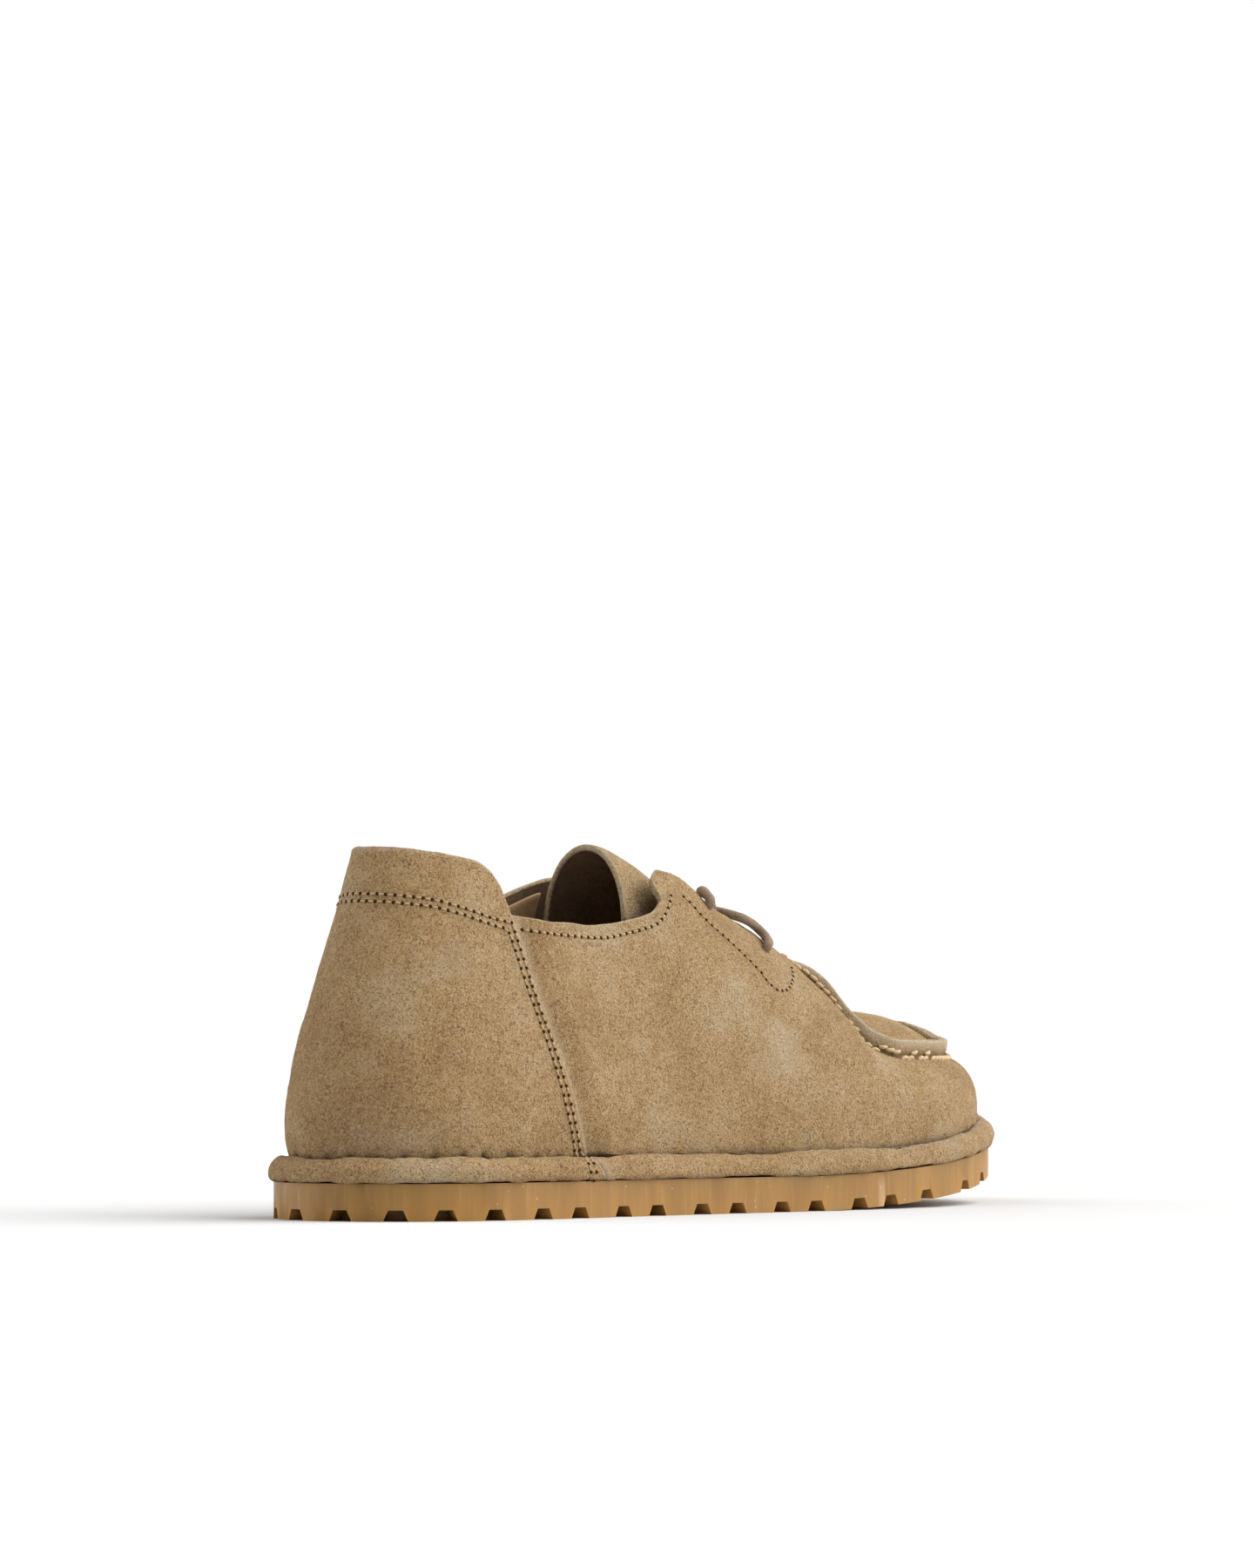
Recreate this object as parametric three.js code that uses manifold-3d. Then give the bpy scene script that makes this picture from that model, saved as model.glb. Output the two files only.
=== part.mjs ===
// Suede lace-up moccasin on a gum sole, right foot, EU size 42.
// Millimetres. +X points to the toe, +Z up, -Y is the outer side of the foot.
// The origin is on the ground, under the middle of the footprint.
import * as THREE from "three";
import { mergeVertices } from "three/addons/utils/BufferGeometryUtils.js";
import Module from "manifold-3d";

const wasm = await Module();
wasm.setup();

// ---- driving dimensions ----
const shoeLength = 285; // over the suede bead, which is the widest line of the shoe
const shoeWidth = 106;
const collarHeight = 99.5; // ground to the top edge at the back of the heel
const outsoleThickness = 10;
const outsoleInset = 1.2; // the rubber stands this far inside the bead
const toeSpring = 13.4; // rise of the toe tip above the ground
const springStart = 8; // X where the sole starts to rise
const toeThinning = 0.12; // share of the rise that the rubber loses in thickness
const beadHeight = 6.6;
const grooveInset = 5.4; // from the bead's outer edge to the foot of the wall
const suede = 1.8; // thickness of the outer panels
const apronSuede = 1.6;
const tongueSuede = 1.8;
const liningLeather = 1.1;
const stiffenerBoard = 1.2;
const gap = 0.3; // between touching pieces
const plyGap = 0.8; // between plies that are stitched together
const seamOverlap = 9; // the heel panel laps over the side panel by this much
const ridgeHeight = 5.3; // the standing seam around the apron
const footbedThickness = 8;
const footbedCover = 1.2;
const threadRadius = 0.4;
const laceDiameter = 2.6;
const eyeletDiameter = 4.2;
const treadPitch = 15.1;
const treadDepth = 3;
const grooveNarrow = 4; // tread groove across its roof, then at the ground
const grooveWide = 6.8;
const notchReach = 9; // how far an edge notch runs in from the side
const firstGroove = 49; // from the back of the heel to the first crosswise groove
const treadFree = 133; // length of sole at the two ends that the crosswise grooves leave out
const pairShift = 0.9; // the crosswise grooves lie in pairs, each this far from even spacing
// The stations below are for this size; the upper follows when the size changes.
const drawnFor = { length: 285, width: 106, collar: 99.5 };
const long = shoeLength / drawnFor.length;
const wide = shoeWidth / drawnFor.width;
const tall = collarHeight / drawnFor.collar;

// ---- curves through stations ----
const smooth = (x) => {
  const c = Math.min(1, Math.max(0, x));
  return c * c * (3 - 2 * c);
};
const mix = (a, b, k) => a + (b - a) * k;

// Rows of [station, value, ...], joined by a curve that never overshoots its values.
function keyed(stations) {
  const xs = stations.map((row) => row[0]);
  const columns = [...stations[0].keys()].slice(1);
  const slope = (i, c) => {
    if (i === 0 || i === stations.length - 1) return 0;
    const before = (stations[i][c] - stations[i - 1][c]) / (xs[i] - xs[i - 1]);
    const after = (stations[i + 1][c] - stations[i][c]) / (xs[i + 1] - xs[i]);
    return before * after <= 0 ? 0 : 2 * before * after / (before + after);
  };
  return (x) => {
    const at = Math.min(xs[xs.length - 1], Math.max(xs[0], x));
    let i = 0;
    while (i < xs.length - 2 && at > xs[i + 1]) i++;
    const h = xs[i + 1] - xs[i];
    const k = (at - xs[i]) / h;
    const values = columns.map((c) => (1 + 2 * k) * (1 - k) ** 2 * stations[i][c]
      + k * (1 - k) ** 2 * h * slope(i, c)
      + k * k * (3 - 2 * k) * stations[i + 1][c] + k * k * (k - 1) * h * slope(i + 1, c));
    return values.length === 1 ? values[0] : values;
  };
}

// ---- footprint ----
// Halves of the length and width, from the heel along the outer side to the toe and back.
const footprint = [
  [-1, 0.1], [-0.95, -0.32], [-0.82, -0.6], [-0.62, -0.72], [-0.33, -0.78], [0, -0.9], [0.3, -1],
  [0.55, -0.96], [0.76, -0.73], [0.92, -0.35], [1, 0.14], [0.97, 0.52], [0.86, 0.81], [0.66, 0.97],
  [0.4, 1], [0.15, 0.9], [-0.15, 0.77], [-0.4, 0.73], [-0.62, 0.77], [-0.82, 0.7], [-0.95, 0.47],
];

function closedOutline(place) {
  const points = footprint.map(([x, y]) => place(x, y));
  return new THREE.CatmullRomCurve3(points, true, "centripetal");
}
const drawnSize = new THREE.Box3().setFromPoints(
  closedOutline((x, y) => new THREE.Vector3(x, y, 0)).getPoints(720));
const fit = (value, low, high, size) => ((value - low) / (high - low) - 0.5) * size;
const outline = closedOutline((x, y) => new THREE.Vector3(
  fit(x, drawnSize.min.x, drawnSize.max.x, shoeLength),
  fit(y, drawnSize.min.y, drawnSize.max.y, shoeWidth), 0));
outline.arcLengthDivisions = 1200;

// Along the outline, t runs from 0 at the back of the heel to 1, and the toe tip lies at toeT.
const tries = [...Array(1200).keys()].map((k) => k / 1200);
const toeT = tries.reduce((best, t) => (outline.getPointAt(t).x > outline.getPointAt(best).x ? t : best));
const OUTER = -1;
const INNER = 1;
// s runs from 0 at the back of the heel to 1 at the toe tip, along either side.
const tOf = (side, s) => (side === OUTER ? s * toeT : 1 - s * (1 - toeT));
const sideLength = (side) => outline.getLength() * (side === OUTER ? toeT : 1 - toeT);
const halfLength = shoeLength / 2;

function frameAt(side, s) {
  const u = tOf(side, s) % 1;
  const tangent = outline.getTangentAt(u);
  return { point: outline.getPointAt(u), inward: new THREE.Vector3(-tangent.y, tangent.x, 0).normalize() };
}

const spring = (x) => toeSpring * Math.max(0, (x - springStart) / (halfLength - springStart)) ** 1.8;
const soleTop = (x) => outsoleThickness + spring(x) * (1 - toeThinning);

// ---- skin of the upper ----
const wallFoot = outsoleThickness + beadHeight - 0.4;
// s, then inset and height of the wall's top edge, then of the two handles that shape the wall.
const wallStations = keyed([
  [0.00, 22, 100.5, 0, 38, 14.6, 66],
  [0.20, 22, 98.5, 1.5, 38, 13.5, 66],
  [0.34, 24, 98.5, 3, 40, 14, 68],
  [0.425, 29, 96.5, 3.5, 44, 15, 83],
  [0.493, 31, 85.7, 4, 42, 16, 76],
  [0.560, 33, 76.2, 4, 42, 18, 67],
  [0.592, 32, 69.6, 4, 40, 17, 62],
  [0.621, 29, 62, 4, 38, 15, 55],
  [0.640, 24.5, 52.5, 4, 36, 13, 47],
  [0.662, 20.5, 46.6, 4, 34, 11.5, 43],
  [0.700, 17, 43.7, 4.2, 32, 10, 40.5],
  [0.800, 14, 43.6, 3.6, 32, 6.6, 41],
  [0.900, 13.5, 44.8, 3.2, 32, 5.6, 42],
  [1.000, 13.5, 49.6, 3.2, 34, 6, 46.5],
]);
// The toe box stands higher over the big toe.
const innerLift = keyed([[0.55, 0], [0.66, 3.5], [0.76, 6.5], [0.86, 7], [0.94, 5], [1, 0]]);
// Along the facing the inner wall stands nearer to upright, so its edge lies less far in.
const innerUpright = keyed([[0.1, 0], [0.28, 3], [0.42, 4.5], [0.56, 3], [0.66, 0]]);
const heelTop = keyed([[0, 100.2], [0.06, 100.5], [0.11, 99.6], [0.162, 98.2], [0.192, 96.9], [0.206, 94.5],
  [0.222, 88]]);
const topline = {
  [OUTER]: keyed([[0.2, 84], [0.226, 82.1], [0.26, 80.1], [0.32, 79.2], [0.363, 81.4], [0.388, 83.6],
    [0.4, 86.2], [0.409, 89.1], [0.416, 92], [0.424, 94.2], [0.432, 95.2], [0.44, 95.5]]),
  [INNER]: keyed([
    [0.2, 88], [0.24, 86], [0.3, 85.4], [0.342, 87.8], [0.388, 93.5], [0.41, 95], [0.44, 95.5]]),
};
const cornerS = 0.44; // where the topline meets the facing edge
const throatS = 0.56; // where the facing edge meets the apron
const ridge = keyed([[throatS, 2.6], [0.635, ridgeHeight]]);
// s of the heel panel's front edge at a height: the seam slants forward on its way down.
const seamAt = keyed([[0, 0.286], [18, 0.271], [41, 0.253], [60, 0.238], [85, 0.223], [100, 0.214]]);
// The bead as inset and height above the rubber, from its lower edge over to the groove.
const beadProfile = [[1.6, gap], [0.3, 0.9], [0, 2.1], [0.6, 4.2], [2.1, 5.9], [3.9, beadHeight], [5, 6.4]];

function wallCurve(side, s) {
  const [edgeIn, edgeZ, lowIn, lowZ, highIn, highZ] = wallStations(s);
  const lift = side === INNER ? innerLift(s) : 0;
  const upright = side === INNER ? innerUpright(s) : 0;
  const x = frameAt(side, s).point.x;
  const foot = wallFoot + soleTop(x) - outsoleThickness;
  return new THREE.CubicBezierCurve(
    new THREE.Vector2(grooveInset, foot),
    new THREE.Vector2(lowIn * wide, (lowZ + lift * 0.3) * tall),
    new THREE.Vector2((highIn - upright / 2) * wide, (highZ + lift) * tall),
    new THREE.Vector2((edgeIn - upright) * wide, (edgeZ + lift) * tall));
}

// The share of a wall curve that lies below a height.
function shareBelow(curve, height) {
  let low = 0;
  let high = 1;
  for (let k = 0; k < 24; k++) {
    const middle = (low + high) / 2;
    if (curve.getPoint(middle).y < height) low = middle;
    else high = middle;
  }
  return high;
}

// Section points as [inset, height]: the bead unless it is left out, then the wall between two heights.
function sectionAt(side, s, shape) {
  const curve = wallCurve(side, s);
  const rise = soleTop(frameAt(side, s).point.x);
  const low = shape.from === undefined ? 0 : shareBelow(curve, shape.from(s, side));
  const high = shape.to === undefined ? 1 : shareBelow(curve, shape.to(s, side));
  const points = shape.bead ? beadProfile.map(([inset, z]) => new THREE.Vector2(inset, z + rise)) : [];
  for (let k = 0; k <= shape.steps; k++) points.push(curve.getPoint(mix(low, high, k / shape.steps)));
  if (shape.ridge) points.push(ridgeLine(curve, high, s).top);
  return points;
}

// The standing seam: its foot on the wall's top edge, its direction, and the way in from it.
function ridgeLine(curve, share, s) {
  const foot = curve.getPoint(share);
  const stand = smooth((s - throatS) / 0.07);
  const up = curve.getTangent(share).lerp(new THREE.Vector2(-0.15, 1), stand).normalize();
  const top = foot.clone().addScaledVector(up, mix(0.8, ridge(s), smooth((s - throatS + 0.02) / 0.02)));
  return { foot, up, top, inward: new THREE.Vector2(up.y, -up.x) };
}

// Point j of a section moved outward from the leather's face by `out`, in the section's own plane.
function offsetPoint(points, j, out) {
  const normal = (a, b) => new THREE.Vector2(a.y - b.y, b.x - a.x).normalize();
  const last = points.length - 1;
  const before = normal(points[Math.max(0, j - 1)], points[Math.max(1, j)]);
  const after = normal(points[Math.min(last - 1, j)], points[Math.min(last, j + 1)]);
  const middle = before.clone().add(after).normalize();
  return points[j].clone().addScaledVector(middle, out / Math.max(0.75, middle.dot(before)));
}

function place(side, s, flat) {
  const { point, inward } = frameAt(side, s);
  return new THREE.Vector3(point.x + inward.x * flat.x, point.y + inward.y * flat.x, flat.y);
}

// ---- solids ----
const cornerKey = (p) => [p.x, p.y, p.z].map((v) => Math.round(v * 500)).join();

// Triangles to a closed mesh that faces out. Slivers go, and so do two faces that lie back to back.
function solidGeometry(triangles) {
  const found = new Map();
  for (const corners of triangles) {
    const keys = corners.map(cornerKey);
    if (new Set(keys).size < 3) continue;
    const key = keys.sort().join(" ");
    if (found.has(key)) found.delete(key);
    else found.set(key, corners);
  }
  const kept = [...found.values()];
  const volume = kept.reduce((sum, [a, b, c]) => sum + a.dot(b.clone().cross(c)), 0);
  const facing = kept.map(([a, b, c]) => (volume < 0 ? [a, c, b] : [a, b, c]));
  const flat = facing.flat().flatMap((p) => p.toArray());
  const geometry = new THREE.BufferGeometry();
  geometry.setAttribute("position", new THREE.BufferAttribute(new Float32Array(flat), 3));
  geometry.computeVertexNormals();
  return geometry;
}

// A ply with a face and a back, each a grid of rows of points.
function ply(face, back) {
  const triangles = [];
  const quad = (a, b, c, d) => triangles.push([a, b, c], [a, c, d]);
  const turned = (a, b, c, d) => triangles.push([a, b, d], [b, c, d]);
  const rows = face.length - 1;
  const columns = face[0].length - 1;
  for (let i = 0; i < rows; i++) {
    for (let j = 0; j < columns; j++) {
      quad(face[i][j], face[i + 1][j], face[i + 1][j + 1], face[i][j + 1]);
      quad(back[i][j], back[i][j + 1], back[i + 1][j + 1], back[i + 1][j]);
    }
    quad(face[i][0], back[i][0], back[i + 1][0], face[i + 1][0]);
    quad(face[i][columns], face[i + 1][columns], back[i + 1][columns], back[i][columns]);
  }
  for (let j = 0; j < columns; j++) {
    const end = j < columns / 2 ? quad : turned; // a folded end row then closes on itself
    end(face[0][j], face[0][j + 1], back[0][j + 1], back[0][j]);
    end(face[rows][j], back[rows][j], back[rows][j + 1], face[rows][j + 1]);
  }
  return solidGeometry(triangles);
}

function toManifold(geometry) {
  const bare = geometry.clone();
  bare.deleteAttribute("normal");
  bare.deleteAttribute("uv");
  const merged = mergeVertices(bare, 1e-3);
  return new wasm.Manifold(new wasm.Mesh({
    numProp: 3,
    vertProperties: merged.attributes.position.array,
    triVerts: new Uint32Array(merged.index.array),
  }));
}

function fromManifold(solid) {
  const mesh = solid.getMesh();
  const geometry = new THREE.BufferGeometry();
  geometry.setAttribute("position", new THREE.BufferAttribute(new Float32Array(mesh.vertProperties), 3));
  geometry.setIndex(new THREE.BufferAttribute(new Uint32Array(mesh.triVerts), 1));
  geometry.computeVertexNormals();
  return geometry;
}

// A curve whose steps are as close together as the points that it is given.
class PointwiseCurve extends THREE.CatmullRomCurve3 {
  getPointAt(u, target) {
    return this.getPoint(u, target);
  }

  getTangentAt(u, target) {
    return this.getTangent(u, target);
  }
}

function rod(points, radius, steps, sides) {
  const shape = new THREE.Shape();
  shape.absarc(0, 0, radius, 0, Math.PI * 2);
  const extrudePath = new PointwiseCurve(points, false, "centripetal");
  const settings = { steps, extrudePath, curveSegments: sides / 2, bevelEnabled: false };
  return new THREE.ExtrudeGeometry(shape, settings);
}

// ---- materials ----
const plain = (color, roughness) => new THREE.MeshStandardMaterial({ color, roughness, metalness: 0 });
const suedeMaterial = plain(0xb79c77, 0.95);
const liningMaterial = plain(0xa68c69, 0.9);
const rubberMaterial = plain(0xa9824a, 0.45);
const corkMaterial = plain(0xa87d52, 0.9);
const boardMaterial = plain(0xcbb894, 0.9);
const threadMaterial = plain(0x9c8464, 0.8);
const laceMaterial = plain(0x8a735a, 0.8);

const shoe = new THREE.Group();
shoe.name = "moccasin";
function add(name, geometry, material) {
  const mesh = new THREE.Mesh(geometry, material);
  mesh.name = name;
  shoe.add(mesh);
}

// ---- sole ----
// Rows of points across the sole, inset from the bead's outer edge.
function soleRows(inset, heightAt) {
  const stations = 28;
  const columns = 4;
  return Array.from({ length: stations + 1 }, (_, i) => {
    const s = (1 - Math.cos(Math.PI * i / stations)) / 2;
    const [outer, inner] = [OUTER, INNER].map((side) => {
      const { point, inward } = frameAt(side, s);
      return point.clone().addScaledVector(inward, inset);
    });
    return Array.from({ length: columns + 1 }, (_, j) => {
      const p = outer.clone().lerp(inner, j / columns);
      p.z = heightAt(p.x, s, j / columns);
      return p;
    });
  });
}

// A bar of trapezoid section that lies along -Y, wide at the ground.
function grooveBar(length) {
  const shape = new THREE.Shape();
  shape.moveTo(-grooveWide / 2, -2);
  shape.lineTo(grooveWide / 2, -2);
  shape.lineTo(grooveWide / 2, 0);
  shape.lineTo(grooveNarrow / 2, treadDepth);
  shape.lineTo(-grooveNarrow / 2, treadDepth);
  shape.lineTo(-grooveWide / 2, 0);
  return new THREE.ExtrudeGeometry(shape, { depth: length, bevelEnabled: false }).rotateX(Math.PI / 2);
}

function outsoleGeometry() {
  const top = soleRows(outsoleInset, soleTop);
  const bottom = soleRows(outsoleInset, spring);
  let solid = toManifold(ply(top, bottom));
  const overhang = 8;
  const grooves = Math.round((shoeLength - treadFree) / treadPitch);
  const firstX = -halfLength + firstGroove;
  for (let k = 0; k <= grooves; k++) {
    const x = firstX + k * treadPitch + (k % 2 === 0 ? pairShift : -pairShift);
    const slope = Math.atan((spring(x + 1) - spring(x - 1)) / 2);
    const setBar = (length, fromY) => grooveBar(length).rotateY(-slope).translate(x, fromY, spring(x));
    if (k % 2 === 0) {
      solid = solid.subtract(toManifold(setBar(shoeWidth + 2 * overhang, shoeWidth / 2 + overhang)));
      continue;
    }
    const nearest = (side) => tries.map((s) => frameAt(side, s).point)
      .reduce((best, p) => (Math.abs(p.x - x) < Math.abs(best.x - x) ? p : best)).y;
    solid = solid.subtract(toManifold(setBar(notchReach + overhang, nearest(OUTER) + notchReach)));
    solid = solid.subtract(toManifold(setBar(notchReach + overhang, nearest(INNER) + overhang)));
  }
  const heelNotches = [0.033, 0.08, 0.121, 0.165].map((s) => [OUTER, s]);
  const backNotches = [0.015, 0.06, 0.105, 0.15].map((s) => [INNER, s]);
  const toeNotches = [0.731, 0.783, 0.84, 0.9, 0.955].flatMap((s) => [[OUTER, s], [INNER, s]]);
  for (const [side, s] of [...heelNotches, ...backNotches, ...toeNotches]) {
    const { point, inward } = frameAt(side, s);
    const start = point.clone().addScaledVector(inward, -overhang);
    const bar = grooveBar(notchReach + overhang).rotateZ(Math.PI / 2 + Math.atan2(inward.y, inward.x));
    solid = solid.subtract(toManifold(bar.translate(start.x, start.y, spring(point.x))));
  }
  return fromManifold(solid);
}

// The footbed dips under the heel and rises at its rim and under the arch.
const rimRise = 1.2; // at its rim, forward of the arch
function footbedRise(s, across) {
  const towardEnd = Math.max(1 - smooth(s / 0.16), smooth((s - 0.84) / 0.16));
  const rim = Math.max(Math.abs(2 * across - 1), towardEnd);
  const arch = smooth(1 - Math.abs(s - 0.42) / 0.2) * smooth((across - 0.55) / 0.45);
  return 4.5 * smooth((0.62 - s) / 0.3) * rim ** 3 + 3 * arch + rimRise * rim ** 4;
}

const midsoleTop = beadHeight - 2 * suede - 3 * gap - 0.5; // above the rubber
const wallDepth = suede * 2 + liningLeather + gap + plyGap; // heel panel, side panel and lining
const footbedInset = grooveInset + wallDepth + 1;
function soleLayer(inset, bottom, top) {
  return ply(soleRows(inset, (x, s, k) => soleTop(x) + top(s, k)),
    soleRows(inset, (x, s, k) => soleTop(x) + bottom(s, k)));
}
const coreBase = midsoleTop + gap;
const coverBase = coreBase + footbedThickness + gap;
add("outsole", outsoleGeometry(), rubberMaterial);
add("cork_midsole", soleLayer(5, () => gap, () => midsoleTop), corkMaterial);
add("footbed_core", soleLayer(footbedInset, () => coreBase,
  (s, k) => coreBase + footbedThickness + footbedRise(s, k)), corkMaterial);
add("footbed_cover", soleLayer(footbedInset, (s, k) => coverBase + footbedRise(s, k),
  (s, k) => coverBase + footbedCover + footbedRise(s, k)), liningMaterial);

// ---- panels of the upper ----
// A ply that runs round the shoe. Each row gives, for column j, a share that is negative on the inner side.
function wallPly(rows, shape, thickness, outAt) {
  const count = sectionAt(OUTER, 0.3, shape).length;
  const grid = (extra) => rows.map((shareAt) => Array.from({ length: count }, (_, j) => {
    const share = shareAt(j);
    const side = share < 0 ? INNER : OUTER;
    const s = Math.abs(share);
    const points = sectionAt(side, s, shape);
    return place(side, s, offsetPoint(points, j, outAt(s, j, side) - extra));
  }));
  return ply(grid(0), grid(thickness));
}

const spread = (count, rowAt) => Array.from({ length: count + 1 }, (_, i) => rowAt(i / count));
const collarZ = (s) => heelTop(s) * tall;
const toplineZ = (s, side) => (s >= cornerS ? Infinity : topline[side](s) * tall);
const wallHeights = (s, shape) => sectionAt(OUTER, s, shape).map((p) => p.y);

const heelShape = { bead: true, steps: 7, to: collarZ };
const heelHeights = wallHeights(0.2, heelShape);
const heelRows = spread(20, (k) => (j) => (1 - 2 * k) * seamAt(heelHeights[j] / tall));
add("heel_panel", wallPly(heelRows, heelShape, suede, () => 0), suedeMaterial);

// The side panel runs from one heel seam round the toe to the other. Its walls tuck under the heel panel,
// and its bead butts against the heel panel's bead.
const sideShape = { bead: true, steps: 7, to: toplineZ, ridge: true };
const sideHeights = wallHeights(0.28, sideShape);
const beadCount = beadProfile.length;
const tucked = (s, height) => 1 - smooth((s - seamAt(height / tall) - 0.002) / 0.03);
const sideRows = spread(46, (k) => (j) => {
  const lap = j > beadCount ? -seamOverlap : plyGap;
  const start = seamAt(sideHeights[j] / tall) + lap / sideLength(OUTER);
  return k <= 0.5 ? mix(start, 1, 2 * k) : -mix(1, start, 2 * k - 1);
});
const sideOut = (s, j) => {
  const past = j > beadCount ? s : s - seamOverlap / sideLength(OUTER);
  return -(suede + gap) * tucked(past, sideHeights[j]) * smooth((j - beadCount + 3) / 3);
};

// Where a lace hole passes: a place on the wall near its edge.
const eyeletS = [0.468, 0.53];
const eyeletIn = [5.5, 11]; // from the facing's edge
function skinAt(side, s, share, out) {
  const curve = wallCurve(side, s);
  const along = curve.getTangent(share);
  const normal = new THREE.Vector2(-along.y, along.x);
  return place(side, s, curve.getPoint(share).addScaledVector(normal, out));
}
function shareFromEdge(side, s, distance) {
  const curve = wallCurve(side, s);
  return shareBelow(curve, curve.getPoint(1).y - distance * curve.getTangent(1).y);
}
const eyeletShare = (side, k) => shareFromEdge(side, eyeletS[k], eyeletIn[k]);
const eyeletPoint = (side, k, out) => skinAt(side, eyeletS[k], eyeletShare(side, k), out);

function punched(geometry, sides) {
  let solid = toManifold(geometry);
  for (const side of sides) {
    for (const k of eyeletS.keys()) {
      const [inside, outside] = [eyeletPoint(side, k, -8), eyeletPoint(side, k, 5)];
      const radius = eyeletDiameter / 2;
      const punch = new THREE.CylinderGeometry(radius, radius, inside.distanceTo(outside), 12);
      const axis = outside.clone().sub(inside).normalize();
      punch.applyQuaternion(new THREE.Quaternion().setFromUnitVectors(new THREE.Vector3(0, 1, 0), axis));
      punch.translate(...inside.clone().lerp(outside, 0.5).toArray());
      solid = solid.subtract(toManifold(punch));
    }
  }
  return fromManifold(solid);
}
add("side_panel", punched(wallPly(sideRows, sideShape, suede, sideOut), [OUTER, INNER]), suedeMaterial);

// ---- inner plies ----
const liningTop = (s, side) => mix(collarZ(s), toplineZ(s, side), smooth((s - 0.185) / 0.035)) - 1.6;
const liningEnd = 0.385; // s of its front edges, beside the tongue
const liningShape = { steps: 6, from: () => wallFoot + 3, to: liningTop };
const liningHeights = wallHeights(0.24, liningShape);
add("quarter_lining", wallPly(
  spread(28, (k) => () => (1 - 2 * k) * liningEnd), liningShape, liningLeather,
  (s, j) => -suede - plyGap - (suede + gap) * tucked(s - 0.022, liningHeights[j])), liningMaterial);

const stiffenerShape = { steps: 4, from: () => wallFoot + 2, to: () => 62 * tall };
add("heel_stiffener", wallPly(
  spread(14, (k) => () => (1 - 2 * k) * 0.195), stiffenerShape, stiffenerBoard,
  () => -(suede + gap)), boardMaterial);

// The stitch row that holds the eyestay backing: from the facing's corner to a hook at its lower end.
const eyestayRow = keyed([
  [0.431, 89.6], [0.445, 84.5], [0.454, 81.5], [0.482, 74.7], [0.502, 68.1], [0.509, 64.6],
  [0.52, 62.6], [0.53, 62.8], [0.541, 64.4], [0.552, 67], [0.56, 69.4],
]);
const stayEnds = [0.433, 0.559];
const backingShape = {
  steps: 4,
  from: (s) => (eyestayRow(s) - 2) * tall,
  to: (s, side) => wallCurve(side, s).getPoint(1).y - 0.8,
};
for (const [side, label] of [[OUTER, "outer"], [INNER, "inner"]]) {
  const rows = spread(12, (k) => () => -side * mix(0.445, stayEnds[1], k));
  const backing = wallPly(rows, backingShape, stiffenerBoard, () => -suede - plyGap);
  add(`eyestay_backing_${label}`, punched(backing, [side]), liningMaterial);
}

// ---- apron ----
const apronRise = 0.7; // the apron leaves the ridge this far above the ridge's foot
// Points of the apron's section at s: its standing edge and foot on one side, over and down on the other.
function apronRow(s, lower) {
  const depth = suede + plyGap + (lower ? 0 : apronSuede);
  const lip = apronRise + (lower ? 0 : apronSuede);
  const [outer, inner] = [OUTER, INNER].map((side) => {
    const { foot, up, inward } = ridgeLine(wallCurve(side, s), 1, s);
    const at = (height) => {
      const flat = foot.clone().addScaledVector(up, height).addScaledVector(inward, depth);
      return place(side, s, flat);
    };
    return [at(ridge(s)), at(lip)];
  });
  const bulge = outer[1].distanceTo(inner[1]) * 0.13;
  const middle = spread(6, (k) => {
    const p = outer[1].clone().lerp(inner[1], k);
    p.z += bulge * 4 * k * (1 - k);
    return p;
  });
  return [outer[0], ...middle, inner[0]];
}
const apronS = spread(24, (k) => mix(throatS + 0.006, 1, Math.sin(k * Math.PI / 2)));
const apronPly = ply(apronS.map((s) => apronRow(s, false)), apronS.map((s) => apronRow(s, true)));
add("apron", apronPly, suedeMaterial);

// ---- tongue ----
const tongueHalfWidth = 15.5 * wide;
const tongueEnds = [-34, 36]; // X of its top edge and of the line that it bends at
// X, then the height of the crest and how far the sides fall below it.
const tongueLine = keyed([[-34, 104, 22], [-21, 100, 19], [-11, 95.5, 17.5], [-2, 91.6, 17], [6, 88, 19],
  [16, 83, 16.5], [26, 77.4, 14.5], [36, 72.6, 12.5]]);
function tongueRow(x, inset) {
  const [crest, fall] = tongueLine(x);
  return spread(10, (k) => {
    const angle = (k - 0.5) * Math.PI;
    return new THREE.Vector3(x * long, (tongueHalfWidth - inset) * Math.sin(angle),
      crest * tall - inset - (fall - inset) * (1 - Math.cos(angle)));
  });
}
const tongueX = spread(16, (k) => mix(...tongueEnds, k));
add("tongue", ply(tongueX.map((x) => tongueRow(x, 0)), tongueX.map((x) => tongueRow(x, tongueSuede))),
  suedeMaterial);

// ---- threads ----
const threadLift = gap + threadRadius;
const threadRod = (points, steps) => rod(points, threadRadius, steps, 6);
const atHeight = (side, s, height, out) => skinAt(side, s, shareBelow(wallCurve(side, s), height), out);

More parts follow.
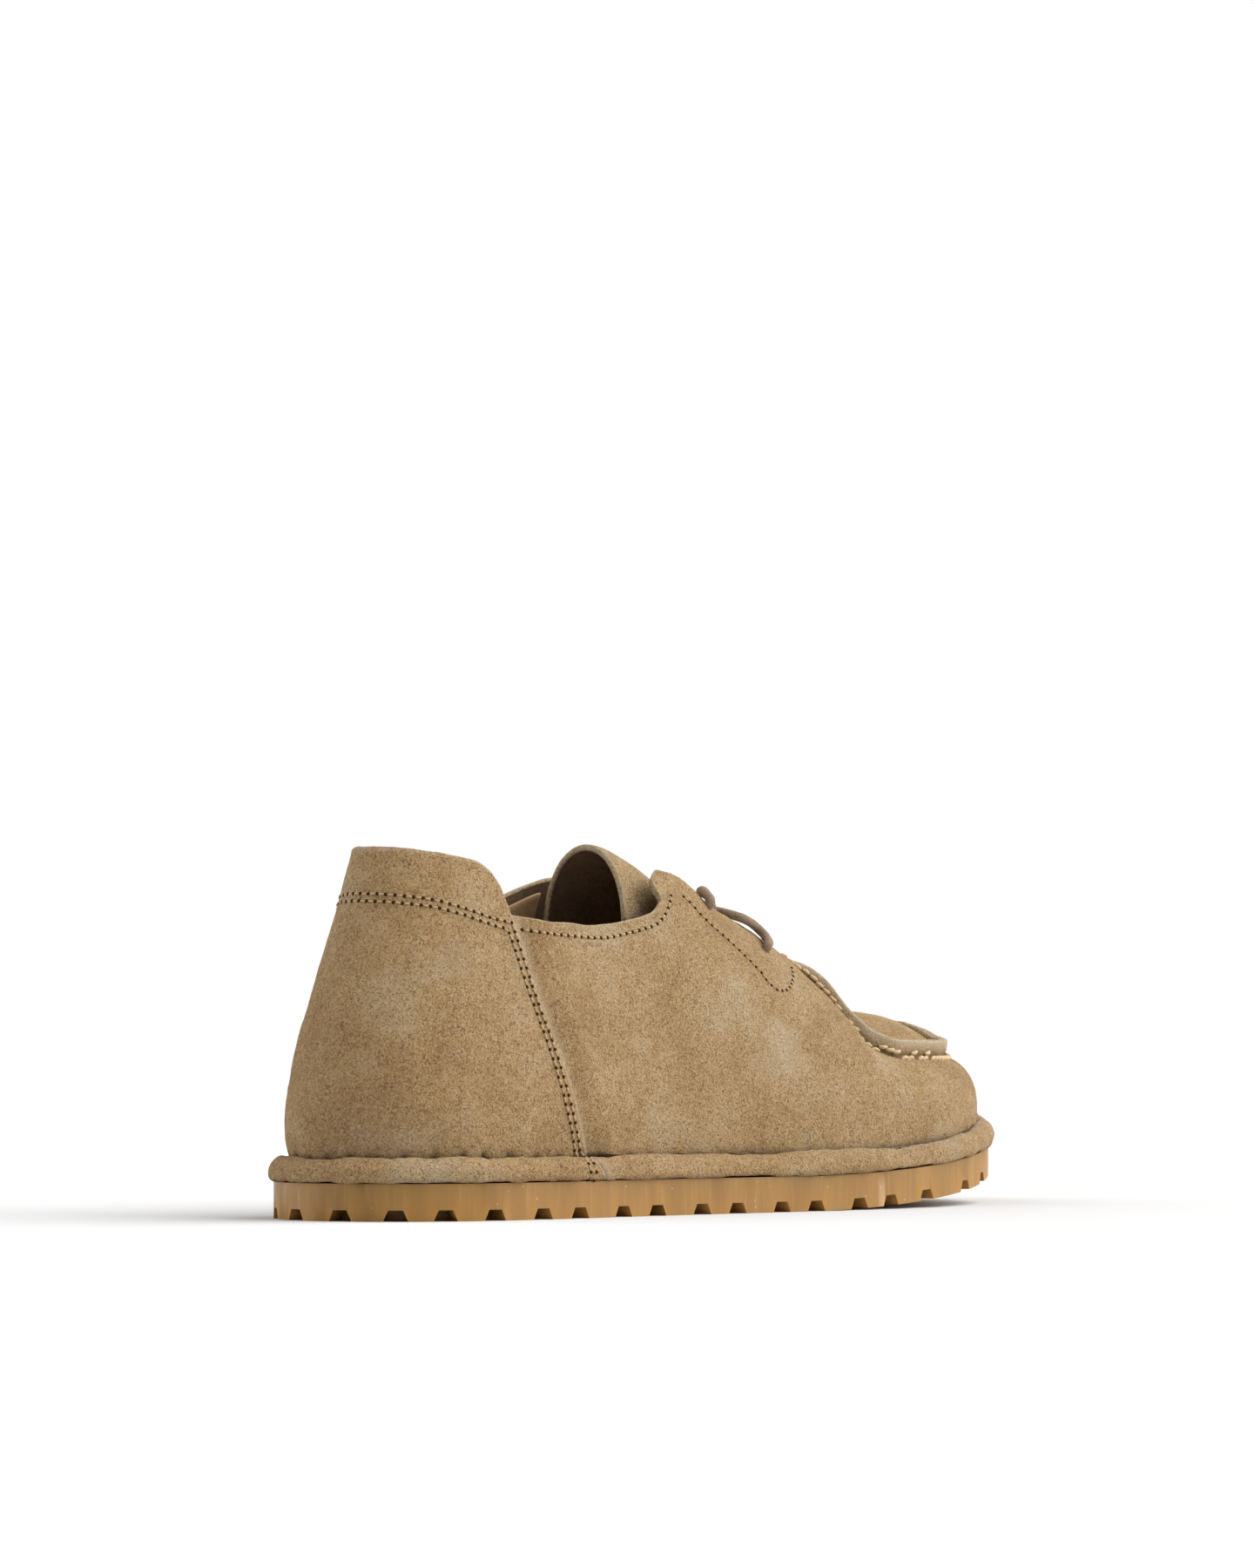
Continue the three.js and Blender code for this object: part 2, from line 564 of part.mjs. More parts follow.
// The heel panel's rows climb beside one seam, cross the collar and go down beside the other.
const collarRow = keyed([[0, 87.8], [0.1, 86.8], [0.163, 84.2], [0.222, 80.4]]);
const rowSpacing = 2;
function heelRow(k) {
  const fromSeam = 2.4 + k * rowSpacing;
  const corner = seamAt(80) - fromSeam / sideLength(OUTER);
  const below = k * rowSpacing;
  const side = (which) => spread(6, (climb) => {
    const height = mix(wallFoot + 3, collarRow(corner) * tall - below - 2, climb);
    return atHeight(which, seamAt(height / tall) - fromSeam / sideLength(which), height, threadLift);
  });
  const across = spread(16, (way) => {
    const share = (corner - 0.008) * (1 - 2 * way);
    const s = Math.abs(share);
    return atHeight(share < 0 ? INNER : OUTER, s, collarRow(s) * tall - below, threadLift);
  });
  return threadRod([...side(OUTER), ...across, ...side(INNER).reverse()], 60);
}
add("heel_thread_edge_row", heelRow(0), threadMaterial);
add("heel_thread_second_row", heelRow(1), threadMaterial);

for (const [side, label] of [[OUTER, "outer"], [INNER, "inner"]]) {
  const start = seamAt(80) + 0.008;
  const edgeRow = spread(12, (k) => {
    const s = mix(start, 0.416, k);
    const height = toplineZ(s, side) - 2.6;
    return atHeight(side, s, height, threadLift - (suede + gap) * tucked(s, height));
  });
  add(`topline_thread_${label}`, threadRod(edgeRow, 24), threadMaterial);
  const stayRow = spread(16, (k) => {
    const s = mix(...stayEnds, k);
    return atHeight(side, s, eyestayRow(s) * tall, threadLift);
  });
  add(`eyestay_thread_${label}`, threadRod(stayRow, 32), threadMaterial);
}

// Runs round from one side to the other past the toe or past the heel.
function roundRow(ends, count, pointAt) {
  return spread(count, (k) => {
    const share = mix(ends[0], ends[1], k);
    if (share > 1) return pointAt(INNER, 2 - share);
    return share < 0 ? pointAt(INNER, -share) : pointAt(OUTER, share);
  });
}
add("moc_seam_thread", threadRod(roundRow([0.575, 1.425], 44, (side, s) => {
  const { foot, up, inward } = ridgeLine(wallCurve(side, s), 1, s);
  const flat = foot.clone().addScaledVector(up, 0.9).addScaledVector(inward, -threadLift - 3.6 * gap);
  return place(side, s, flat);
}), 44), threadMaterial);
add("welt_thread", threadRod(roundRow([-0.4, 1.5], 60, (side, s) => {
  const height = soleTop(frameAt(side, s).point.x) + beadHeight + threadLift;
  return place(side, s, new THREE.Vector2(grooveInset - 1.1, height));
}), 60), threadMaterial);

// ---- lace ----
const laceRadius = laceDiameter / 2;
const laceLift = gap + laceRadius;
const nap = 0.8; // the lace rides this much higher over the tongue's curve
const underSkin = -(suede + plyGap + stiffenerBoard + gap + laceRadius);
const v = (x, y, z) => new THREE.Vector3(x * long, y * wide, z * tall);
// The middle of the lace where it rests on the tongue at x and y, square to the suede.
function onTongue(x, y, lift) {
  const [crest, fall] = tongueLine(x);
  const turn = Math.asin(y * wide / tongueHalfWidth);
  const normal = new THREE.Vector2(fall * Math.sin(turn), tongueHalfWidth * Math.cos(turn)).normalize();
  const middle = new THREE.Vector2(y * wide, crest * tall - fall * (1 - Math.cos(turn)));
  middle.addScaledVector(normal, laceLift + nap + lift);
  return new THREE.Vector3(x * long, middle.x, middle.y);
}
const overEdge = (side, s, lift) => skinAt(side, s, 1, laceLift + lift);
const footbedTop = (x) => soleTop(x) + coverBase + footbedCover + rimRise;
const onFootbed = (x, y) => new THREE.Vector3(x * long, y * wide, footbedTop(x * long) + laceLift + gap);
// An end that goes in through the top eyelet, down inside the quarter and forward along the footbed.
function tuckedEnd(side, far) {
  return [
    eyeletPoint(side, 0, underSkin), v(-3, side * 21, 72), v(4, side * 25.5, 60), v(16, side * 29, 46),
    v(32, side * 30, 34), onFootbed(48, side * 27), onFootbed(far - 18, side * 20),
    onFootbed(far, side * 8), onFootbed(far - 4, side * -2), onFootbed(far - 20, side * -1),
  ];
}
const throughEyelet = (side, k) => [eyeletPoint(side, k, laceLift + 0.2), eyeletPoint(side, k, -suede / 2)];
// Between the facing's edge and the lower eyelet the lace lies on the panel.
const onFacing = (side) => skinAt(side, 0.538, shareFromEdge(side, 0.538, 5.5), laceLift + 0.4);
const lacePoints = [
  ...tuckedEnd(OUTER, 92).reverse(),
  ...throughEyelet(OUTER, 0).reverse(),
  overEdge(OUTER, 0.472, 0.6), v(5, -10.5, 91.9), v(10, -9.4, 90.3), onTongue(12.5, -7.5, 0.3),
  onTongue(16, 0, 0), onTongue(20, 8, 0), overEdge(INNER, 0.542, 1.2), onFacing(INNER),
  ...throughEyelet(INNER, 1),
  eyeletPoint(INNER, 1, underSkin - 1), onTongue(24, 10.4, 0.2), onTongue(24, 7, 0), onTongue(24.5, 0, 0),
  onTongue(24, -7, 0), onTongue(24, -10.4, 0.2),
  eyeletPoint(OUTER, 1, underSkin - 1),
  ...throughEyelet(OUTER, 1).reverse(), onFacing(OUTER),
  overEdge(OUTER, 0.542, 0.6), v(21, -10.5, 84.6), v(14.5, -3.5, 88.6),
  onTongue(8, 4, 0.8), onTongue(2, 10, 0.4), overEdge(INNER, 0.475, 3.2),
  ...throughEyelet(INNER, 0),
  ...tuckedEnd(INNER, 66),
];
add("lace", rod(lacePoints, laceRadius, 2 * (lacePoints.length - 1), 8), laceMaterial);

export default shoe;
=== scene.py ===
import math
import bpy
import numpy as np
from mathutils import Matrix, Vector
from mathutils.bvhtree import BVHTree


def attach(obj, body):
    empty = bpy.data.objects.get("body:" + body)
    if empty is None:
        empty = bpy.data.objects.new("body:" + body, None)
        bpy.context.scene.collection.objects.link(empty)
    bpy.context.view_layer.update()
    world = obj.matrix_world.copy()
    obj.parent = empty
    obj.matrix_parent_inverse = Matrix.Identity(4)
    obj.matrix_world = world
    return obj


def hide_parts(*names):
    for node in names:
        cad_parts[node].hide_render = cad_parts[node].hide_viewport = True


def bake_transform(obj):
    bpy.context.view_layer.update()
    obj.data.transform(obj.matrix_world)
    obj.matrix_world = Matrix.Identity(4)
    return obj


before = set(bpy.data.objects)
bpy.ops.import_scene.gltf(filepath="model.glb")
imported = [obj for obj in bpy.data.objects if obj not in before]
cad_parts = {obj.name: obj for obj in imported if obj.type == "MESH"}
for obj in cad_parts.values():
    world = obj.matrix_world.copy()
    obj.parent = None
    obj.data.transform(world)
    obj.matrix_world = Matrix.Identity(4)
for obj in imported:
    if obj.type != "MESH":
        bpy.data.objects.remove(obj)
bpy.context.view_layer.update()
print("frame loaded:", len(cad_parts), "CAD nodes")

# Shapes are worked out in millimetres and turned to metres when a mesh is made.
outer, inner = -1, 1  # the two sides of the shoe
shoe = {
    "length": 285, "width": 106, "collar": 99.5, "rubber": 10, "rubberInset": 1.2,
    "toeSpring": 13.4, "springStart": 8, "toeThinning": 0.12, "bead": 6.6, "groove": 5.4,
    "suede": 1.8, "apronSuede": 1.6, "tongueSuede": 1.8, "lining": 1.1, "board": 1.2,
    "gap": 0.3, "plyGap": 0.8, "lap": 9, "footbed": 8, "cover": 1.2,
}
tall = shoe["collar"] / 99.5
halfLength = shoe["length"] / 2


# ---- curves ----
def smooth(x):
    c = np.clip(x, 0, 1)
    return c * c * (3 - 2 * c)


def mix(a, b, k):
    return a + (b - a) * k


def bell(x, width):
    return np.exp(-(x / width) ** 2)


# A curve through rows of [station, value, ...] that never overshoots them.
def keyed(stations):
    rows = np.array(stations, float)
    xs, ys = rows[:, 0], rows[:, 1:]
    rise = np.diff(ys, axis=0) / np.diff(xs)[:, None]
    product, total = rise[:-1] * rise[1:], rise[:-1] + rise[1:]
    slope = np.zeros_like(ys)
    slope[1:-1] = np.where(product > 0, 2 * product / np.where(product > 0, total, 1), 0)

    def at(x):
        x = np.clip(np.asarray(x, float), xs[0], xs[-1])
        i = np.clip(np.searchsorted(xs, x, side="right") - 1, 0, len(xs) - 2)
        h = (xs[i + 1] - xs[i])[..., None]
        k = (x - xs[i])[..., None] / h
        found = ((1 + 2 * k) * (1 - k) ** 2 * ys[i] + k * (1 - k) ** 2 * h * slope[i]
                 + k * k * (3 - 2 * k) * ys[i + 1] + k * k * (k - 1) * h * slope[i + 1])
        return found[..., 0] if found.shape[-1] == 1 else found
    return at


# A centripetal curve through the points, with so many steps between two of them.
def curveThrough(points, closed, steps):
    p = np.array(points, float)
    if closed:
        p = np.vstack([p[-1], p, p[0], p[1]])
    else:
        p = np.vstack([2 * p[0] - p[1], p, 2 * p[-1] - p[-2]])
    k = (np.arange(steps) / steps)[:, None]
    found = []
    for i in range(1, len(p) - 2):
        d0, d1, d2 = [max(1e-6, np.linalg.norm(p[j + 1] - p[j])) ** 0.5 for j in (i - 1, i, i + 1)]
        into = ((p[i] - p[i - 1]) / d0 - (p[i + 1] - p[i - 1]) / (d0 + d1) + (p[i + 1] - p[i]) / d1) * d1
        away = ((p[i + 1] - p[i]) / d1 - (p[i + 2] - p[i]) / (d1 + d2) + (p[i + 2] - p[i + 1]) / d2) * d1
        found.append((1 + 2 * k) * (1 - k) ** 2 * p[i] + k * (1 - k) ** 2 * into
                     + k * k * (3 - 2 * k) * p[i + 1] + k * k * (k - 1) * away)
    if not closed:
        found.append(p[-2][None, :])
    return np.vstack(found)


def lengths(points):
    return np.concatenate([[0], np.cumsum(np.linalg.norm(np.diff(points, axis=0), axis=1))])


def respaced(points, count):
    along = lengths(points)
    at = np.linspace(0, along[-1], count)
    return np.stack([np.interp(at, along, points[:, c]) for c in range(points.shape[1])], axis=1)


# Soft bumps from -1 to 1, about `size` millimetres apart.
def ripple(points, size, seed):
    q = np.asarray(points, float) / size + seed * 17.31
    cell = np.floor(q).astype(np.int64)
    f = q - cell
    f = f * f * (3 - 2 * f)
    total = np.zeros(q.shape[:-1])
    for corner in range(8):
        step = np.array([corner & 1, corner >> 1 & 1, corner >> 2 & 1])
        c = cell + step
        h = (c[..., 0] * 73856093) ^ (c[..., 1] * 19349663) ^ (c[..., 2] * 83492791)
        h = ((h ^ (h >> 13)) * 1274126177) & 0x7fffffff
        value = ((h ^ (h >> 15)) & 0xffff) / 32767.5 - 1
        total += value * np.prod(np.where(step == 1, f, 1 - f), axis=-1)
    return total


# ---- footprint ----
footprint = [
    (-1, 0.1), (-0.95, -0.32), (-0.82, -0.6), (-0.62, -0.72), (-0.33, -0.78), (0, -0.9), (0.3, -1),
    (0.55, -0.96), (0.76, -0.73), (0.92, -0.35), (1, 0.14), (0.97, 0.52), (0.86, 0.81), (0.66, 0.97),
    (0.4, 1), (0.15, 0.9), (-0.15, 0.77), (-0.4, 0.73), (-0.62, 0.77), (-0.82, 0.7), (-0.95, 0.47)]
drawn = curveThrough(footprint, True, 40)
low, high = drawn.min(axis=0), drawn.max(axis=0)
scaled = ((np.array(footprint) - low) / (high - low) - 0.5) * [shoe["length"], shoe["width"]]
outlinePoints = curveThrough(scaled, True, 400)
outlinePoints = respaced(np.vstack([outlinePoints, outlinePoints[:1]]), 7201)
outlineLength = lengths(outlinePoints)[-1]
outlineU = np.linspace(0, 1, 7201)
turning = np.gradient(np.vstack([outlinePoints[-3:-1], outlinePoints, outlinePoints[1:3]]), axis=0)[2:-2]
turning /= np.linalg.norm(turning, axis=1)[:, None]
toeU = outlineU[np.argmax(outlinePoints[:, 0])]


def sideLength(side):
    return outlineLength * (toeU if side == outer else 1 - toeU)


# s runs from 0 at the back of the heel to 1 at the toe tip, along either side.
def frameAt(side, s):
    u = np.where(np.asarray(side) == outer, s * toeU, 1 - s * (1 - toeU)) % 1
    point = np.stack([np.interp(u, outlineU, outlinePoints[:, c]) for c in (0, 1)], axis=-1)
    tangent = np.stack([np.interp(u, outlineU, turning[:, c]) for c in (0, 1)], axis=-1)
    return point, np.stack([-tangent[..., 1], tangent[..., 0]], axis=-1)


def spring(x):
    return shoe["toeSpring"] * np.maximum(0, (x - shoe["springStart"]) / (halfLength - shoe["springStart"])) ** 1.8


def soleTop(x):
    return shoe["rubber"] + spring(x) * (1 - shoe["toeThinning"])


# ---- skin of the upper ----
wallStations = keyed([
    (0.00, 22, 100.5, 0, 38, 14.6, 66), (0.20, 22, 98.5, 1.5, 38, 13.5, 66), (0.34, 24, 98.5, 3, 40, 14, 68),
    (0.425, 29, 96.5, 3.5, 44, 15, 83), (0.493, 31, 85.7, 4, 42, 16, 76), (0.560, 33, 76.2, 4, 42, 18, 67),
    (0.592, 32, 69.6, 4, 40, 17, 62), (0.621, 29, 62, 4, 38, 15, 55), (0.640, 24.5, 52.5, 4, 36, 13, 47),
    (0.662, 20.5, 46.6, 4, 34, 11.5, 43), (0.700, 17, 43.7, 4.2, 32, 10, 40.5), (0.800, 14, 43.6, 3.6, 32, 6.6, 41),
    (0.900, 13.5, 44.8, 3.2, 32, 5.6, 42), (1.000, 13.5, 49.6, 3.2, 34, 6, 46.5)])
innerLift = keyed([(0.55, 0), (0.66, 3.5), (0.76, 6.5), (0.86, 7), (0.94, 5), (1, 0)])
innerUpright = keyed([(0.1, 0), (0.28, 3), (0.42, 4.5), (0.56, 3), (0.66, 0)])
heelTop = keyed([(0, 100.2), (0.06, 100.5), (0.11, 99.6), (0.162, 98.2), (0.192, 96.9), (0.206, 94.5), (0.222, 88)])
outerTop = keyed([(0.2, 84), (0.226, 82.1), (0.26, 80.1), (0.32, 79.2), (0.363, 81.4), (0.388, 83.6), (0.4, 86.2),
                  (0.409, 89.1), (0.416, 92), (0.424, 94.2), (0.432, 95.2), (0.44, 95.5)])
innerTop = keyed([(0.2, 88), (0.24, 86), (0.3, 85.4), (0.342, 87.8), (0.388, 93.5), (0.41, 95), (0.44, 95.5)])
cornerS, throatS = 0.44, 0.56
ridge = keyed([(throatS, 2.8), (0.635, 4.6)])
seamAt = keyed([(0, 0.286), (18, 0.271), (41, 0.253), (60, 0.238), (85, 0.223), (100, 0.214)])
wallFoot = shoe["rubber"] + shoe["bead"] - 0.4
# The bead as inset and height above the rubber, from its lower edge over and down into the groove.
beadLine = respaced(curveThrough([(1.7, 0.25), (0.6, 0.4), (0.0, 1.1), (-0.1, 2.3), (0.35, 4.1), (1.6, 5.8),
                                  (3.2, 6.7), (4.6, 6.3), (5.4, 5.1)], False, 12), 28)


def toplineZ(s, side):
    line = np.where(np.asarray(side) == outer, outerTop(s), innerTop(s)) * tall
    return np.where(s >= cornerS, 1e6, line)


def collarZ(s, side=outer):
    return heelTop(s) * tall


def wallCurve(side, s):
    w = wallStations(s)
    side = np.asarray(side)
    lift = np.where(side == inner, innerLift(s), 0)
    upright = np.where(side == inner, innerUpright(s), 0)
    foot = wallFoot + soleTop(frameAt(side, s)[0][..., 0]) - shoe["rubber"]
    columns = [(np.full_like(foot, shoe["groove"]), foot), (w[..., 2], (w[..., 3] + lift * 0.3) * tall),
               (w[..., 4] - upright / 2, (w[..., 5] + lift) * tall), (w[..., 0] - upright, (w[..., 1] + lift) * tall)]
    return [np.stack(c, axis=-1) for c in columns]


def curvePoint(curve, v):
    v = np.asarray(v)[..., None]
    a, b, c, d = curve
    return (1 - v) ** 3 * a + 3 * v * (1 - v) ** 2 * b + 3 * v * v * (1 - v) * c + v ** 3 * d


def curveTangent(curve, v):
    v = np.asarray(v)[..., None]
    a, b, c, d = curve
    t = (1 - v) ** 2 * (b - a) + 2 * v * (1 - v) * (c - b) + v * v * (d - c)
    return t / np.linalg.norm(t, axis=-1)[..., None]


# The share of a wall curve that lies below a height.
def shareBelow(curve, height):
    low, high = np.zeros(curve[0].shape[:-1]), np.ones(curve[0].shape[:-1])
    for _ in range(24):
        middle = (low + high) / 2
        under = curvePoint(curve, middle)[..., 1] < height
        low, high = np.where(under, middle, low), np.where(under, high, middle)
    return high


def place(side, s, flat):
    point, inward = frameAt(side, s)
    return np.concatenate([point + inward * flat[..., :1], flat[..., 1:]], axis=-1)


# A place on the leather's face, `out` millimetres off it.
def skinAt(side, s, v, out):
    side, s, v = np.broadcast_arrays(np.asarray(side), np.asarray(s, float), np.asarray(v, float))
    curve = wallCurve(side, s)
    t = curveTangent(curve, v)
    normal = np.stack([-t[..., 1], t[..., 0]], axis=-1)
    return place(side, s, curvePoint(curve, v) + normal * np.asarray(out)[..., None])


def atHeight(side, s, height, out):
    side, s = np.broadcast_arrays(np.asarray(side), np.asarray(s, float))
    return skinAt(side, s, shareBelow(wallCurve(side, s), height), out)


def ridgeLine(side, s, v):
    curve = wallCurve(side, s)
    foot = curvePoint(curve, v)
    stand = smooth((s - throatS) / 0.07)[..., None]
    up = mix(curveTangent(curve, v), np.array([-0.15, 1.0]), stand)
    up /= np.linalg.norm(up, axis=-1)[..., None]
    reach = mix(0.8, ridge(s), smooth((s - throatS + 0.02) / 0.02))
    return foot, up, reach, np.stack([up[..., 1], -up[..., 0]], axis=-1)


# ---- meshes ----
def gridNormals(grid):
    normal = np.cross(np.gradient(grid, axis=0), np.gradient(grid, axis=1))
    return normal / np.maximum(1e-9, np.linalg.norm(normal, axis=-1))[..., None]


def makeMesh(name, points, faces, materials, marks=None, faceMaterial=None, sharp=None):
    mesh = bpy.data.meshes.new(name)
    mesh.from_pydata((np.asarray(points, float) / 1000).tolist(), [], faces)
    for mark, values in (marks or {}).items():
        mesh.attributes.new(mark, "FLOAT", "POINT").data.foreach_set("value", np.asarray(values, np.float32))
    for material in materials:
        mesh.materials.append(material)
    if faceMaterial is not None:
        mesh.polygons.foreach_set("material_index", np.asarray(faceMaterial, np.int32))
    mesh.polygons.foreach_set("use_smooth", [True] * len(mesh.polygons))
    if sharp:
        mesh.set_sharp_from_angle(angle=math.radians(sharp))
    mesh.update()
    made = bpy.data.objects.new(name, mesh)
    bpy.context.scene.collection.objects.link(made)
    return made


# A ply of leather: a face and a back, each a grid of points, and a rim that is rounded over.
def plyMesh(name, face, back, materials, marks=None, roundness=0.3):
    rows, columns = face.shape[:2]
    size = rows * columns
    ring = ([(i, 0) for i in range(rows)] + [(rows - 1, j) for j in range(1, columns)]
            + [(i, columns - 1) for i in range(rows - 2, -1, -1)] + [(0, j) for j in range(columns - 2, 0, -1)])
    ringI, ringJ = np.array(ring).T
    nextI = np.clip(ringI, 1, rows - 2)
    nextJ = np.clip(ringJ, 1, columns - 2)
    away = face[ringI, ringJ] - face[nextI, nextJ]
    away /= np.maximum(1e-6, np.linalg.norm(away, axis=1))[:, None]
    wall = face[ringI, ringJ] - back[ringI, ringJ]
    reach = np.linalg.norm(wall, axis=1)[:, None] * roundness
    rims = [face[ringI, ringJ] - wall * k + away * reach * bulge for k, bulge in ((0.2, 0.75), (0.5, 1), (0.8, 0.75))]
    points = np.vstack([face.reshape(-1, 3), back.reshape(-1, 3), *rims])
    faces, which = [], []
    for i in range(rows - 1):
        for j in range(columns - 1):
            a, b, c, d = i * columns + j, (i + 1) * columns + j, (i + 1) * columns + j + 1, i * columns + j + 1
            faces.append((a, b, c, d))
            faces.append((a + size, d + size, c + size, b + size))
            which += [0, 1]
    count = len(ring)
    levels = [ringI * columns + ringJ] + [2 * size + n * count + np.arange(count) for n in range(3)]
    levels.append(ringI * columns + ringJ + size)
    for upper, lower in zip(levels, levels[1:]):
        for k in range(count):
            m = (k + 1) % count
            faces.append((int(upper[k]), int(lower[k]), int(lower[m]), int(upper[m])))
            which.append(0)
    values = {"rawEdge": np.concatenate([np.zeros(2 * size), np.ones(3 * count)])}
    values["rawEdge"][ringI * columns + ringJ] = 0.8
    values["rawEdge"][ringI * columns + ringJ + size] = 0.6
    for mark, grid in (marks or {}).items():
        flat = np.asarray(grid, float).reshape(-1)
        values[mark] = np.concatenate([flat, flat, *[grid[ringI, ringJ]] * 3])
    made = makeMesh(name, points, faces, materials, values, which)
    return tidied(made)


# Joins points that fall together, drops what has no area, and turns the faces outward.
def tidied(made):
    import bmesh
    shape = bmesh.new()
    shape.from_mesh(made.data)
    bmesh.ops.remove_doubles(shape, verts=shape.verts, dist=2e-6)
    bmesh.ops.dissolve_degenerate(shape, edges=shape.edges, dist=1e-6)
    bmesh.ops.recalc_face_normals(shape, faces=shape.faces)
    shape.to_mesh(made.data)
    shape.free()
    return made


# Rings of points round a path, closed at both ends. `radius` may be a number for each point.
def tubeParts(path, radius, sides, flatten=1.0, upAt=None):
    path = np.asarray(path, float)
    tangent = np.gradient(path, axis=0)
    tangent /= np.maximum(1e-9, np.linalg.norm(tangent, axis=1))[:, None]
    radius = np.broadcast_to(radius, len(path))
    across = np.cross(tangent[0], [0, 0, 1] if upAt is None else upAt)
    if np.linalg.norm(across) < 1e-3:
        across = np.cross(tangent[0], [1, 0, 0])
    angle = np.arange(sides) * 2 * np.pi / sides
    points = []
    for p, t, r in zip(path, tangent, radius):
        across = across - t * np.dot(across, t)
        across = across / np.linalg.norm(across)
        other = np.cross(t, across)
        points.append(p + r * (np.cos(angle)[:, None] * across + flatten * np.sin(angle)[:, None] * other))
    faces = []
    for i in range(len(path) - 1):
        for k in range(sides):
            m = (k + 1) % sides
            faces.append((i * sides + k, i * sides + m, (i + 1) * sides + m, (i + 1) * sides + k))
    faces.append(tuple(range(sides - 1, -1, -1)))
    faces.append(tuple((len(path) - 1) * sides + k for k in range(sides)))
    return np.vstack(points), faces


def joined(parts):
    points, faces, start = [], [], 0
    for part, partFaces in parts:
        points.append(part)
        faces += [tuple(c + start for c in f) for f in partFaces]
        start += len(part)
    return np.vstack(points), faces


# ---- materials ----
def colour(code):
    parts = [int(code[i:i + 2], 16) / 255 for i in (1, 3, 5)]
    return [c / 12.92 if c <= 0.04045 else ((c + 0.055) / 1.055) ** 2.4 for c in parts] + [1]


def addNode(tree, kind, values=None, links=None, **settings):
    made = tree.nodes.new(kind)
    for key, value in settings.items():
        setattr(made, key, value)
    for key, value in (values or {}).items():
        made.inputs[key].default_value = value
    for key, socket in (links or {}).items():
        tree.links.new(socket, made.inputs[key])
    return made


def newMaterial(name):
    material = bpy.data.materials.new(name)
    material.use_nodes = True
    tree = material.node_tree
    tree.nodes.clear()
    coordinates = addNode(tree, "ShaderNodeTexCoord")
    scaled = addNode(tree, "ShaderNodeMapping", {"Scale": (1000, 1000, 1000)},
                     {"Vector": coordinates.outputs["Object"]})
    return material, tree, scaled.outputs["Vector"]


def noiseAt(tree, where, size, detail=2, distortion=0.0):
    return addNode(tree, "ShaderNodeTexNoise", {"Scale": 1 / size, "Detail": detail, "Roughness": 0.55,
                                                "Distortion": distortion}, {"Vector": where}).outputs["Fac"]


def stretched(tree, value, low, high, toLow=0.0, toHigh=1.0):
    return addNode(tree, "ShaderNodeMapRange", {"From Min": low, "From Max": high, "To Min": toLow, "To Max": toHigh},
                   {"Value": value}).outputs["Result"]


def blended(tree, amount, first, second, how="MIX"):
    made = addNode(tree, "ShaderNodeMix", data_type="RGBA", blend_type=how)
    for place, value in ((0, amount), (6, first), (7, second)):
        if isinstance(value, bpy.types.NodeSocket):
            tree.links.new(value, made.inputs[place])
        else:
            made.inputs[place].default_value = value
    return made.outputs[2]


def finishMaterial(tree, base, height, strength, distance, values, roughness=None):
    links = {"Base Color": base}
    if height is not None:
        links["Normal"] = addNode(tree, "ShaderNodeBump", {"Strength": strength, "Distance": distance},
                                  {"Height": height}).outputs["Normal"]
    if roughness is not None:
        links["Roughness"] = roughness
    shader = addNode(tree, "ShaderNodeBsdfPrincipled", values, links)
    addNode(tree, "ShaderNodeOutputMaterial", links={"Surface": shader.outputs["BSDF"]})


# Cow suede split, napped by sanding: short matted fibres that catch the light in fine worm-like
# grains, with cloudy patches where the nap has been brushed one way or the other.
suedeFinish = {
    "deep": "#c89a5f", "body": "#d9af73", "brushed_and_highlight": "#e8cba0", "fibre": "#f3dfbf", "painted_shade_colour": "#4a3420",
    "cloud": 30, "patch": 10, "grain": 0.95, "sheen": 0.3, "roughness": 0.95, "contrast": 0.85,
}


